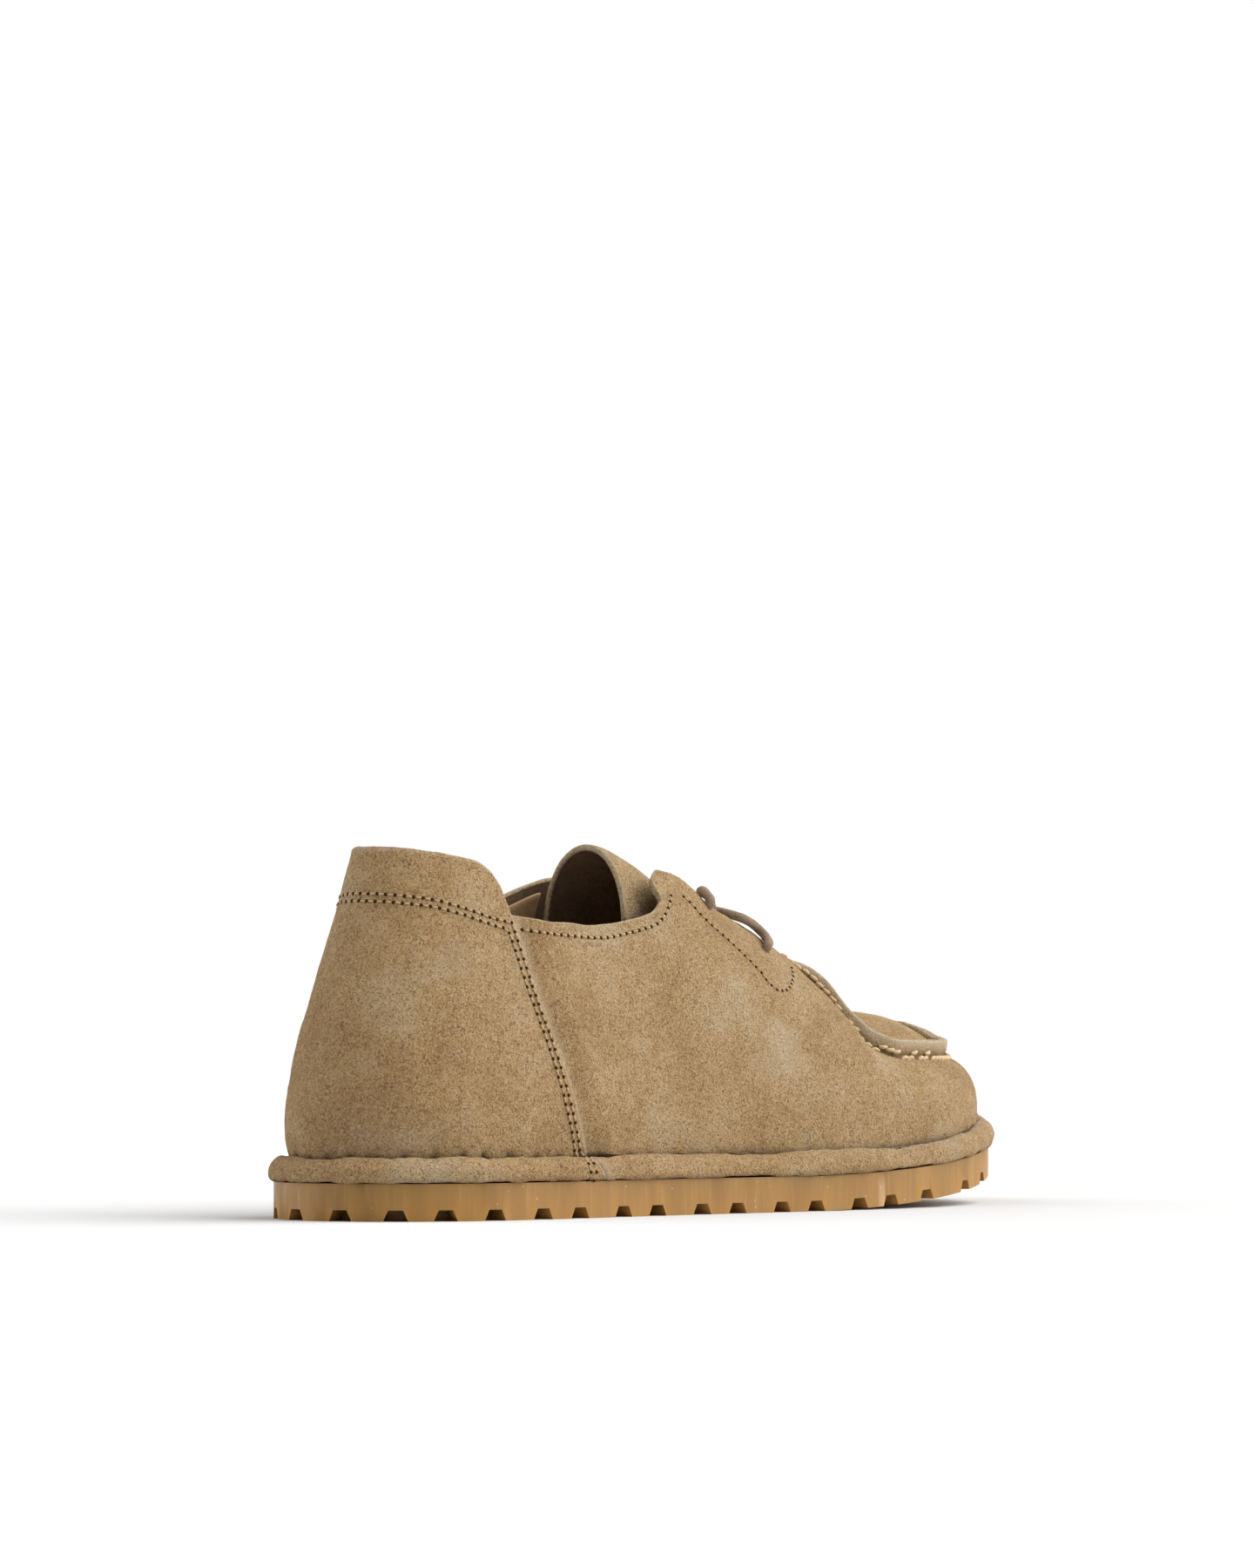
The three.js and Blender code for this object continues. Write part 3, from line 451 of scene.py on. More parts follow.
def suedeMaterial(name, finish):
    material, tree, where = newMaterial(name)
    cloud = noiseAt(tree, where, finish["cloud"], 3)
    patch = noiseAt(tree, where, finish["patch"], 3, 0.4)
    grain = noiseAt(tree, where, finish["grain"], 3, 2.2)
    fine = noiseAt(tree, where, finish["grain"] * 0.45, 2, 1.2)
    broad = stretched(tree, cloud, 0.3, 0.7)
    narrow = stretched(tree, patch, 0.3, 0.7, -0.25, 0.25)
    shade = addNode(tree, "ShaderNodeMath", links={0: broad, 1: narrow}, operation="ADD").outputs[0]
    base = blended(tree, stretched(tree, shade, 0.05, 0.5), colour(finish["deep"]), colour(finish["body"]))
    base = blended(tree, stretched(tree, shade, 0.5, 1.15, 0, 0.9), base, colour(finish["brushed_and_highlight"]))
    dark = blended(tree, finish["contrast"], base, colour("#a58f77"), "MULTIPLY")
    light = blended(tree, finish["contrast"] * 0.5, base, colour(finish["fibre"]))
    base = blended(tree, stretched(tree, grain, 0.4, 0.49), dark, base)
    base = blended(tree, stretched(tree, grain, 0.53, 0.62), base, light)
    raw = addNode(tree, "ShaderNodeAttribute", attribute_name="rawEdge").outputs["Fac"]
    frayed = stretched(tree, noiseAt(tree, where, 1.1, 3), 0.4, 0.65, 0.15, 0.85)
    fray = addNode(tree, "ShaderNodeMath", links={0: raw, 1: frayed}, operation="MULTIPLY").outputs[0]
    base = blended(tree, fray, base, colour(finish["fibre"]))
    # Painted shade: darkened towards a near-black brown in the grooves, stitch pulls and creases, and along the
    # bead's lower edge, as the panels mark them.
    painted_shade = addNode(tree, "ShaderNodeAttribute", attribute_name="painted_shade").outputs["Fac"]
    base = blended(tree, stretched(tree, painted_shade, 0.0, 1.0, 0, 0.9), base, colour(finish["painted_shade_colour"]))
    # Paler where the nap is brushed, with painted highlight where the panels mark the top of the bead and of the
    # standing ridge.
    brushed_and_highlight = addNode(tree, "ShaderNodeAttribute", attribute_name="brushed_and_highlight").outputs["Fac"]
    base = blended(tree, stretched(tree, brushed_and_highlight, 0, 1, 0, 0.75), base, colour(finish["fibre"]))
    height = addNode(tree, "ShaderNodeMath", links={0: grain, 1: fine}, operation="ADD").outputs[0]
    finishMaterial(tree, base, height, 1.0, 0.0018, {
        "Roughness": finish["roughness"], "IOR": 1.45, "Specular IOR Level": 0.2,
        "Sheen Weight": finish["sheen"], "Sheen Roughness": 0.55, "Sheen Tint": colour(finish["fibre"])})
    return material


napped = suedeMaterial("napped_suede", suedeFinish)
# The flesh side of the same hide: darker, with coarser and flatter fibres.
fleshSide = suedeMaterial("flesh_side_suede", {
    "deep": "#967a5e", "body": "#a8896a", "brushed_and_highlight": "#b99b7c", "fibre": "#c9b49a", "painted_shade_colour": "#3a2a1a",
    "cloud": 22, "patch": 9, "grain": 0.7, "sheen": 0.15, "roughness": 0.97, "contrast": 0.4})
# Cut from the same side of the hide as the lace: browner and smoother than the upper.
laceSuede = suedeMaterial("round_suede_lace", {
    "deep": "#c29f82", "body": "#d6b394", "brushed_and_highlight": "#dcc2a6", "fibre": "#ecdac4", "painted_shade_colour": "#3a2a1a",
    "cloud": 12, "patch": 4, "grain": 0.55, "sheen": 0.4, "roughness": 0.9, "contrast": 0.6})


# Vegetable-tanned sheepskin, plated smooth: low sheen, fine pores and small creases.
def liningMaterial():
    material, tree, where = newMaterial("sheepskin_lining")
    pores = addNode(tree, "ShaderNodeTexVoronoi", {"Scale": 1 / 0.9}, {"Vector": where}).outputs["Distance"]
    crease = noiseAt(tree, where, 3.2, 4, 0.8)
    base = blended(tree, stretched(tree, noiseAt(tree, where, 24, 3), 0.3, 0.7), colour("#9a7b56"), colour("#b89872"))
    base = blended(tree, stretched(tree, crease, 0.35, 0.65, 0, 0.4), base, colour("#86683f"))
    height = addNode(tree, "ShaderNodeMath", links={0: pores, 1: crease}, operation="ADD").outputs[0]
    finishMaterial(tree, base, height, 0.4, 0.00015, {"Roughness": 0.62, "IOR": 1.5, "Specular IOR Level": 0.35})
    return material


# Pressed granulated cork: 1 to 3 mm grains of several browns in a thin binder.
def corkMaterial():
    material, tree, where = newMaterial("pressed_cork")
    cells = addNode(tree, "ShaderNodeTexVoronoi", {"Scale": 1 / 2.1, "Randomness": 1.0}, {"Vector": where})
    tone = addNode(tree, "ShaderNodeSeparateColor", links={"Color": cells.outputs["Color"]}).outputs["Red"]
    base = blended(tree, tone, colour("#8c6239"), colour("#b98d5c"))
    base = blended(tree, stretched(tree, noiseAt(tree, where, 0.8, 3), 0.55, 0.72), base, colour("#5d3d20"))
    finishMaterial(tree, base, cells.outputs["Distance"], 0.5, 0.0003, {"Roughness": 0.85, "IOR": 1.45})
    return material


# Fibre board, pressed from paper and latex: pale, with short flecks.
def boardMaterial():
    material, tree, where = newMaterial("stiffener_board")
    fleck = noiseAt(tree, where, 0.7, 4, 1.0)
    base = blended(tree, stretched(tree, fleck, 0.35, 0.65), colour("#b59f79"), colour("#d3c3a1"))
    finishMaterial(tree, base, fleck, 0.3, 0.0001, {"Roughness": 0.9, "IOR": 1.45})
    return material


# Natural crepe-coloured gum rubber, compression moulded and trimmed: milky and a little
# see-through, amber where light gets into an edge, with faint upright marks from trimming.
def rubberMaterial():
    material, tree, where = newMaterial("moulded_gum_rubber")
    upright = addNode(tree, "ShaderNodeMapping", {"Scale": (1, 1, 0.06)}, {"Vector": where}).outputs["Vector"]
    streak = noiseAt(tree, upright, 1.1, 3)
    wide = noiseAt(tree, upright, 9, 3)
    base = blended(tree, stretched(tree, wide, 0.35, 0.65), colour("#8c6834"), colour("#9f783e"))
    base = blended(tree, stretched(tree, streak, 0.55, 0.75, 0, 0.3), base, colour("#bd9a66"))
    glow = addNode(tree, "ShaderNodeAttribute", attribute_name="glow").outputs["Fac"]
    base = blended(tree, stretched(tree, glow, 0, 1, 0, 0.65), base, colour("#b07c30"))
    speck = addNode(tree, "ShaderNodeTexVoronoi", {"Scale": 1 / 3.4}, {"Vector": where}).outputs["Distance"]
    base = blended(tree, stretched(tree, speck, 0.075, 0.04, 0, 0.6), base, colour("#e6d0a6"))
    rough = stretched(tree, streak, 0.3, 0.7, 0.38, 0.52)
    finishMaterial(tree, base, streak, 0.12, 0.0002, {
        "IOR": 1.52, "Specular IOR Level": 0.4, "Subsurface Weight": 0.25,
        "Subsurface Radius": (1.0, 0.45, 0.15), "Subsurface Scale": 0.003}, rough)
    return material


# Three-ply bonded polyester thread: a tight twist with a slight gloss.
def threadMaterial(name, dark, light):
    material, tree, where = newMaterial(name)
    twist = noiseAt(tree, where, 0.35, 2)
    base = blended(tree, stretched(tree, twist, 0.35, 0.65), colour(dark), colour(light))
    finishMaterial(tree, base, twist, 0.4, 0.0001, {"Roughness": 0.7, "IOR": 1.5, "Sheen Weight": 0.2})
    return material


lining, cork, board, rubber = liningMaterial(), corkMaterial(), boardMaterial(), rubberMaterial()
seamThread = threadMaterial("seam_thread", "#9c7d56", "#c4a479")
weltThread = threadMaterial("welt_thread", "#4a3722", "#6e543a")
mocThread = threadMaterial("waxed_moc_thread", "#b5976d", "#cfb487")


# Painted shade: the dark inside of a needle hole, put on small flat pits set in the suede.
def holeShadeMaterial():
    material, tree, where = newMaterial("needle_hole_painted_shade")
    base = blended(tree, noiseAt(tree, where, 0.4, 2), colour("#2a1b0e"), colour("#4a341f"))
    finishMaterial(tree, base, None, 0, 0, {"Roughness": 1.0, "Specular IOR Level": 0.0})
    return material


needleHoleShade = holeShadeMaterial()
print("materials made")


# ---- camera and light ----
# The camera turns off its target by `right` and `below`, both against `focal`.
cameraSetup = {"place": (-1.0724, -0.8999, 0.0427), "target": (0, 0, 0.050), "lens": 111.06,
               "focal": 5553, "right": 39.5, "below": 288.5}


def makeCamera():
    data = bpy.data.cameras.new("camera")
    data.lens, data.sensor_width = cameraSetup["lens"], 36
    data.clip_start, data.clip_end = 0.01, 100
    camera = bpy.data.objects.new("camera", data)
    bpy.context.scene.collection.objects.link(camera)
    camera.location = cameraSetup["place"]
    ahead = (Vector(cameraSetup["target"]) - camera.location).normalized()
    side = ahead.cross(Vector((0, 0, 1))).normalized()
    up = side.cross(ahead)
    aim = ahead * cameraSetup["focal"] - side * cameraSetup["right"] + up * cameraSetup["below"]
    camera.rotation_euler = aim.to_track_quat("-Z", "Y").to_euler()
    bpy.context.scene.camera = camera


light = {"sky": 0.32, "keyStrength": 4.6, "keyAngle": 70, "keyFrom": (0.85, -0.85, 1.1),
         "fillStrength": 1.9, "fillFrom": (-0.6, 0.9, 0.6), "floor": "#d2d2d2"}


def makeLight():
    for name, strength, source, angle in (("key", light["keyStrength"], light["keyFrom"], light["keyAngle"]),
                                          ("fill", light["fillStrength"], light["fillFrom"], 80)):
        data = bpy.data.lights.new(name, "SUN")
        data.energy, data.angle = strength, math.radians(angle)
        lamp = bpy.data.objects.new(name, data)
        lamp.rotation_euler = (-Vector(source)).to_track_quat("-Z", "Y").to_euler()
        bpy.context.scene.collection.objects.link(lamp)
    world = bpy.data.worlds.new("studio")
    bpy.context.scene.world = world
    world.use_nodes = True
    tree = world.node_tree
    tree.nodes.clear()
    path = addNode(tree, "ShaderNodeLightPath")
    seen = addNode(tree, "ShaderNodeBackground", {"Color": (1, 1, 1, 1), "Strength": 1.0})
    soft = addNode(tree, "ShaderNodeBackground", {"Color": (1, 1, 1, 1), "Strength": light["sky"]})
    both = addNode(tree, "ShaderNodeMixShader",
                   links={0: path.outputs["Is Camera Ray"], 1: soft.outputs[0], 2: seen.outputs[0]})
    addNode(tree, "ShaderNodeOutputWorld", links={"Surface": both.outputs[0]})


def makeFloor():
    size = 60000
    corners = [(-size, -size, 0), (size, -size, 0), (size, size, 0), (-size, size, 0)]
    floor = makeMesh("floor", corners, [(0, 1, 2, 3)], [])
    material = bpy.data.materials.new("white_paper_sweep")
    material.use_nodes = True
    shader = material.node_tree.nodes["Principled BSDF"]
    shader.inputs["Base Color"].default_value = colour(light["floor"])
    shader.inputs["Roughness"].default_value = 1.0
    shader.inputs["Specular IOR Level"].default_value = 0.0
    floor.data.materials.append(material)


makeCamera()
makeLight()
makeFloor()
bpy.context.scene.view_settings.view_transform = "Standard"
print("camera, light and floor made")


def settle(made, body, slotName, *nodes):
    if body:
        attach(made, body)
    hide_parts(*nodes)
    return made


# ---- sole ----
sole = {"stations": 150, "columns": 22, "treadPitch": 15.1, "pairShift": 0.9, "firstGroove": 49, "grooves": 10,
        "treadDepth": 3, "grooveNarrow": 4, "grooveWide": 6.8, "notchReach": 9, "softEdge": 0.35,
        "heelOuter": (0.033, 0.08, 0.121, 0.165), "heelInner": (0.015, 0.06, 0.105, 0.15),
        "toe": (0.731, 0.783, 0.84, 0.9, 0.955)}


def soleGrid(inset, heightAt, stations, columns):
    s = (1 - np.cos(np.pi * np.arange(stations + 1) / stations)) / 2
    outerPoint, outerIn = frameAt(outer, s)
    innerPoint, innerIn = frameAt(inner, s)
    a, b = outerPoint + outerIn * inset, innerPoint + innerIn * inset
    k = np.linspace(0, 1, columns + 1)
    flat = a[:, None, :] + (b - a)[:, None, :] * k[None, :, None]
    heights = heightAt(flat[..., 0], s[:, None] + 0 * k, k[None, :] + 0 * s[:, None])
    return np.concatenate([flat, heights[..., None]], axis=-1)


def grooveBar(length):
    w, n, d = sole["grooveWide"] / 2, sole["grooveNarrow"] / 2, sole["treadDepth"]
    outline = [(-w, -2), (w, -2), (w, 0), (n, d), (-n, d), (-w, 0)]
    points = [(x, 0, z) for x, z in outline] + [(x, -length, z) for x, z in outline]
    faces = [tuple(range(6)), tuple(range(11, 5, -1))] + [(k, k + 6, (k + 1) % 6 + 6, (k + 1) % 6) for k in range(6)]
    return np.array(points, float), faces


def turned(points, angle, axis):
    c, s = math.cos(angle), math.sin(angle)
    aboutY, aboutZ = [[c, 0, s], [0, 1, 0], [-s, 0, c]], [[c, -s, 0], [s, c, 0], [0, 0, 1]]
    return points @ np.array(aboutY if axis == "Y" else aboutZ).T


def closedGrid(top, bottom):
    rows, columns = top.shape[:2]
    size = rows * columns
    points = np.vstack([top.reshape(-1, 3), bottom.reshape(-1, 3)])
    faces = []
    for i in range(rows - 1):
        for j in range(columns - 1):
            a, b, c, d = i * columns + j, (i + 1) * columns + j, (i + 1) * columns + j + 1, i * columns + j + 1
            faces += [(a, b, c, d), (a + size, d + size, c + size, b + size)]
        for j, flip in ((0, False), (columns - 1, True)):
            a, b = i * columns + j, (i + 1) * columns + j
            faces.append((a, b, b + size, a + size) if flip else (a, a + size, b + size, b))
    for i in (0, rows - 1):
        for j in range(columns - 1):
            a, b = i * columns + j, i * columns + j + 1
            faces.append((a, b, b + size, a + size) if i == 0 else (a, a + size, b + size, b))
    return points, faces


def makeOutsole():
    top = soleGrid(shoe["rubberInset"], lambda x, s, k: soleTop(x), sole["stations"], sole["columns"])
    bottom = soleGrid(shoe["rubberInset"], lambda x, s, k: spring(x), sole["stations"], sole["columns"])
    body = tidied(makeMesh("outsole_rubber", *closedGrid(top, bottom), [rubber]))
    bars, over = [], 8
    grooveX = [-halfLength + sole["firstGroove"] + k * sole["treadPitch"] + sole["pairShift"] * (1 - 2 * (k % 2))
               for k in range(sole["grooves"] + 1)]
    for k, x in enumerate(grooveX):
        slope = math.atan((spring(x + 1) - spring(x - 1)) / 2)
        spans = [(shoe["width"] + 2 * over, shoe["width"] / 2 + over)]
        if k % 2:
            tries = np.linspace(0, 1, 1200)
            edges = [frameAt(side, tries)[0] for side in (outer, inner)]
            nearest = [e[np.argmin(abs(e[:, 0] - x)), 1] for e in edges]
            reach = sole["notchReach"] + over
            spans = [(reach, nearest[0] + sole["notchReach"]), (reach, nearest[1] + over)]
        for length, fromY in spans:
            points, faces = grooveBar(length)
            bars.append((turned(points, -slope, "Y") + [x, fromY, spring(x)], faces))
    notches = [(outer, s) for s in sole["heelOuter"] + sole["toe"]]
    notches += [(inner, s) for s in sole["heelInner"] + sole["toe"]]
    for side, s in notches:
        point, inward = frameAt(side, s)
        start = point - inward * over
        points, faces = grooveBar(sole["notchReach"] + over)
        points = turned(points, math.pi / 2 + math.atan2(inward[1], inward[0]), "Z")
        bars.append((points + [start[0], start[1], spring(point[0])], faces))
    for points, faces in bars:
        cutter = tidied(makeMesh("cutter", points, faces, []))
        cut = body.modifiers.new("groove", "BOOLEAN")
        cut.operation, cut.object, cut.solver = "DIFFERENCE", cutter, "MANIFOLD"
        applyModifiers(body)
        bpy.data.objects.remove(cutter)
    soften = body.modifiers.new("soft edge", "BEVEL")
    soften.width, soften.segments = sole["softEdge"] / 1000, 2
    soften.limit_method, soften.angle_limit = "ANGLE", math.radians(32)
    applyModifiers(body)
    mesh = body.data
    co = np.zeros(len(mesh.vertices) * 3)
    mesh.vertices.foreach_get("co", co)
    co = co.reshape(-1, 3) * 1000
    low = 1 - smooth((co[:, 2] - spring(co[:, 0]) - 1.2) / 3.2)
    along = np.min(abs(co[:, :1] - np.array(grooveX)[None, :]), axis=1)
    spots = np.array([frameAt(side, s)[0] for side, s in notches])
    along = np.minimum(along, np.min(np.linalg.norm(co[:, None, :2] - spots[None], axis=2), axis=1) * 0.8)
    near = bell(along - 3, 2.4)
    glow = (low * (0.25 + 0.75 * near)).astype(np.float32)
    mesh.attributes.new("glow", "FLOAT", "POINT").data.foreach_set("value", glow)
    mesh.polygons.foreach_set("use_smooth", [True] * len(mesh.polygons))
    mesh.set_sharp_from_angle(angle=math.radians(40))
    settle(body, "shoe", "gum_rubber", "outsole")


def applyModifiers(made):
    bpy.context.view_layer.update()
    seen = made.evaluated_get(bpy.context.evaluated_depsgraph_get())
    mesh = bpy.data.meshes.new_from_object(seen)
    made.modifiers.clear()
    old = made.data
    made.data = mesh
    bpy.data.meshes.remove(old)


def footbedRise(s, across):
    towardEnd = np.maximum(1 - smooth(s / 0.16), smooth((s - 0.84) / 0.16))
    rim = np.maximum(abs(2 * across - 1), towardEnd)
    arch = smooth(1 - abs(s - 0.42) / 0.2) * smooth((across - 0.55) / 0.45)
    return 4.5 * smooth((0.62 - s) / 0.3) * rim ** 3 + 3 * arch + 1.2 * rim ** 4


midsoleTop = shoe["bead"] - 2 * shoe["suede"] - 3 * shoe["gap"] - 0.5
coreBase = midsoleTop + shoe["gap"]
coverBase = coreBase + shoe["footbed"] + shoe["gap"]
footbedInset = shoe["groove"] + shoe["suede"] * 2 + shoe["lining"] + shoe["gap"] + shoe["plyGap"] + 1


def makeSoleLayers():
    def layer(name, inset, bottomAt, topAt, material, slotName, node):
        top = soleGrid(inset, lambda x, s, k: soleTop(x) + topAt(s, k), 110, 40)
        bottom = soleGrid(inset, lambda x, s, k: soleTop(x) + bottomAt(s, k), 110, 40)
        made = plyMesh(name, top, bottom, [material, material], roundness=0.15)
        settle(made, "shoe", slotName, node)
    layer("midsole_cork", 5, lambda s, k: shoe["gap"] + 0 * s, lambda s, k: midsoleTop + 0 * s,
          cork, "cork", "cork_midsole")
    layer("footbed_cork", footbedInset, lambda s, k: coreBase + 0 * s,
          lambda s, k: coreBase + shoe["footbed"] + footbedRise(s, k), cork, "cork", "footbed_core")
    layer("footbed_leather", footbedInset, lambda s, k: coverBase + footbedRise(s, k),
          lambda s, k: coverBase + shoe["cover"] + footbedRise(s, k), lining, "lining_leather", "footbed_cover")


makeOutsole()
makeSoleLayers()
print("sole made")


# ---- panels ----
# Points of a panel: bead columns first, then the wall up to its top, then the standing seam.
def panelGrid(share, wallSteps, topAt, bead=True, fromAt=None, ridgeSteps=0):
    side, s = np.where(share < 0, inner, outer), abs(share)
    parts = []
    column = 0
    if bead:
        rise = soleTop(frameAt(side[:, :len(beadLine)], s[:, :len(beadLine)])[0][..., 0])
        flat = np.stack([beadLine[None, :, 0] + 0 * rise, beadLine[None, :, 1] + rise], axis=-1)
        parts.append(place(side[:, :len(beadLine)], s[:, :len(beadLine)], flat))
        column = len(beadLine)
    cut = slice(column, column + wallSteps + 1)
    sideW, sW = side[:, cut], s[:, cut]
    curve = wallCurve(sideW, sW)
    low = shareBelow(curve, fromAt(sW, sideW)) if fromAt else np.zeros_like(sW)
    high = shareBelow(curve, topAt(sW, sideW)) if topAt else np.ones_like(sW)
    k = np.linspace(0, 1, wallSteps + 1)[None, :]
    parts.append(place(sideW, sW, curvePoint(curve, mix(low, high, k))))
    if ridgeSteps:
        cut = slice(column + wallSteps + 1, column + wallSteps + 1 + ridgeSteps)
        sideR, sR = side[:, cut], s[:, cut]
        curveR = wallCurve(sideR, sR)
        highR = shareBelow(curveR, topAt(sR, sideR)) if topAt else np.ones_like(sR)
        foot, up, reach, inward = ridgeLine(sideR, sR, highR)
        k = (np.arange(1, ridgeSteps + 1) / ridgeSteps)[None, :]
        parts.append(place(sideR, sR, foot + up * (reach * k)[..., None]))
    return np.concatenate(parts, axis=1)


def columnHeights(s, wallSteps, topAt, bead=True, fromAt=None, ridgeSteps=0):
    count = (len(beadLine) if bead else 0) + wallSteps + 1 + ridgeSteps
    return panelGrid(np.full((1, count), s), wallSteps, topAt, bead, fromAt, ridgeSteps)[0, :, 2]


# How far round the bead's length a place is, for what repeats along the welt.
def alongWelt(share):
    return np.where(share < 0, -abs(share) * sideLength(inner), abs(share) * sideLength(outer))


panel = {"pullPitch": 8.6, "pullDepth": 1.05, "sag": 0.55, "nap": 0.11}


# Undulation of leather that has been lasted by hand, and the suede's coarser nap.
def leatherWave(points):
    return (panel["sag"] * ripple(points, 31, 1) + 0.22 * ripple(points, 11, 2) + 0.09 * ripple(points, 4.2, 3)
            + panel["nap"] * ripple(points, 1.7, 4))


# Where the welt stitches pull the bead and the wall in, 0 to 1, and how strongly on that stretch.
def pullAt(share, column):
    groove = len(beadLine)
    near = np.where(column < groove, bell(column - groove, 5), bell(column - groove, 2.4))
    strength = mix(0.3, 1, 1 - smooth((abs(share) - 0.27) / 0.02))
    along = alongWelt(share)
    wander = 1.6 * ripple(np.stack([along, 0 * along, 0 * along], axis=-1), 13, 5)
    size = 0.7 + 0.5 * ripple(np.stack([along, 0 * along, 0 * along], axis=-1), 9, 6)
    phase = ((along + wander) / panel["pullPitch"]) % 1 - 0.5
    return near * strength * size * bell(phase * panel["pullPitch"], 1.3)


# The bead is a soft roll: its lower edge is fuzzy and sits unevenly on the rubber.
def beadLumps(grid, column):
    onBead = 1 - smooth((column - len(beadLine) + 2) / 3)
    return onBead * (0.4 * ripple(grid, 5.5, 14) + 0.28 * ripple(grid, 2.2, 15))


# Strips and clouds where the nap has been brushed up and shows pale, and a painted highlight along the top of the
# bead towards the toe.
def brushedAndHighlightAt(grid, s, height, column):
    seam = bell((s - seamAt(height / tall)) * sideLength(outer) - 1.2, 1.6) * 0.5
    mottle = 0.6 * ripple(grid, 23, 16) + 0.45 * ripple(grid, 10, 19) + 0.25 * ripple(grid, 4, 20)
    cloud = smooth((mottle - 0.2) / 0.6) * 0.4
    # Painted highlight along the top of the bead towards the toe.
    bead = bell(column - len(beadLine) + 6, 3) * smooth((s - 0.45) / 0.2) * 0.45
    return np.clip(seam + cloud + bead, 0, 1)


heel = {"rows": 230, "wallSteps": 82}


def makeHeelPanel():
    heights = columnHeights(0.2, heel["wallSteps"], collarZ)
    k = np.linspace(0, 1, heel["rows"] + 1)[:, None]
    share = (1 - 2 * k) * seamAt(heights / tall)[None, :]
    grid = panelGrid(share, heel["wallSteps"], collarZ)
    normal = outward(grid)
    column = np.arange(grid.shape[1])[None, :] + 0 * k
    pull = pullAt(share, column)
    edge = bell(column - grid.shape[1] + 1, 1.5)
    fade = smooth((column - 2) / 8)
    out = leatherWave(grid) * mix(0.35, 1, fade) - panel["pullDepth"] * pull + beadLumps(grid, column)
    face = grid + normal * out[..., None]
    face[..., 2] += 0.5 * ripple(grid, 9, 7) * edge
    back = face - normal * shoe["suede"]
    # Painted shade in the stitch pulls, in the groove behind the bead and along the bead's lower edge where it sits
    # on the rubber.
    dark = pull * 0.95 + 0.75 * bell(column - len(beadLine) + 0.3, 1.3) + 0.8 * bell(column, 1.6)
    marks = {"painted_shade": np.clip(dark, 0, 1),
             "brushed_and_highlight": 0.55 * brushedAndHighlightAt(grid, abs(share), heights[None, :] + 0 * k, column)}
    made = plyMesh("heel_panel_suede", face, back, [napped, fleshSide], marks)
    settle(made, "shoe", "suede_panels", "heel_panel")
    return made


def outward(grid):
    normal = gridNormals(grid)
    middle = grid[grid.shape[0] // 3, grid.shape[1] // 2]
    sign = np.sign(np.dot(normal[grid.shape[0] // 3, grid.shape[1] // 2], [0, middle[1], 0]))
    return normal * (sign if sign else 1)


side = {"rows": 490, "wallSteps": 62, "ridgeSteps": 6, "curl": 1.2, "lean": 6.2}


def tucked(s, height):
    return 1 - smooth((s - seamAt(height / tall) - 0.002) / 0.03)


def makeSidePanel():
    heights = columnHeights(0.28, side["wallSteps"], toplineZ, ridgeSteps=side["ridgeSteps"])
    columns = np.arange(len(heights))
    beadCount = len(beadLine)
    lap = np.where(columns > beadCount, -shoe["lap"], shoe["plyGap"])
    start = (seamAt(heights / tall) + lap / sideLength(outer))[None, :]
    k = np.linspace(0, 1, side["rows"] + 1)[:, None]
    share = np.where(k <= 0.5, mix(start, 1, 2 * k), -mix(1, start, 2 * k - 1))
    share = np.where(share == 0, 1e-6, share)
    grid = panelGrid(share, side["wallSteps"], toplineZ, ridgeSteps=side["ridgeSteps"])
    normal = outward(grid)
    s = abs(share)
    past = np.where(columns[None, :] > beadCount, s, s - shoe["lap"] / sideLength(outer))
    onWall = smooth((columns[None, :] - beadCount + 3) / 3)
    under = -(shoe["suede"] + shoe["gap"]) * tucked(past, heights[None, :]) * onWall
    column = columns[None, :] + 0 * k
    pull = pullAt(share, column)
    fade = smooth((column - 2) / 8)
    top = len(heights) - 1
    curl = side["curl"] * bell(s - 0.425, 0.012) * smooth((column - top + 9) / 9) * (share > 0)
    foot = beadCount + side["wallSteps"]
    crease = bell(column - foot - 0.5, 1.6) * smooth((s - throatS) / 0.02)
    out = under + leatherWave(grid) * mix(0.35, 1, fade) - panel["pullDepth"] * pull
    out = out + curl - 0.45 * crease + beadLumps(grid, column)
    face = grid + normal * out[..., None]
    lobe = smooth((grid[..., 2] - 86.5) / 6) * smooth((0.446 - s) / 0.022) * smooth((s - 0.398) / 0.012) * (share > 0)
    face[..., 0] -= side["lean"] * lobe
    face[..., 2] += 1.1 * lobe * bell(s - 0.418, 0.012) * (0.8 + 0.5 * ripple(grid, 2.6, 18))
    face[..., 2] += 0.35 * ripple(grid, 7, 8) * bell(column - top, 1.5)
    back = face - normal * shoe["suede"]
    # Painted highlight along the top of the standing ridge.
    rim = smooth((column - top + 5) / 5) * smooth((s - throatS) / 0.03) * 0.9
    # Painted shade in the stitch pulls, the groove behind the bead, the crease at the foot of the ridge and along the
    # bead's lower edge.
    dark = pull * 0.95 + 0.75 * bell(column - beadCount + 0.3, 1.3) + 0.5 * crease + 0.8 * bell(column, 1.6)
    marks = {"painted_shade": np.clip(dark, 0, 1),
             "brushed_and_highlight": np.clip(brushedAndHighlightAt(grid, s, heights[None, :] + 0 * k, column) + rim, 0, 1)}
    made = plyMesh("side_panel_suede", face, back, [napped, fleshSide], marks)
    settle(made, "shoe", "suede_panels", "side_panel")
    return made


heelPanel = makeHeelPanel()
sidePanel = makeSidePanel()
print("heel and side panels made")


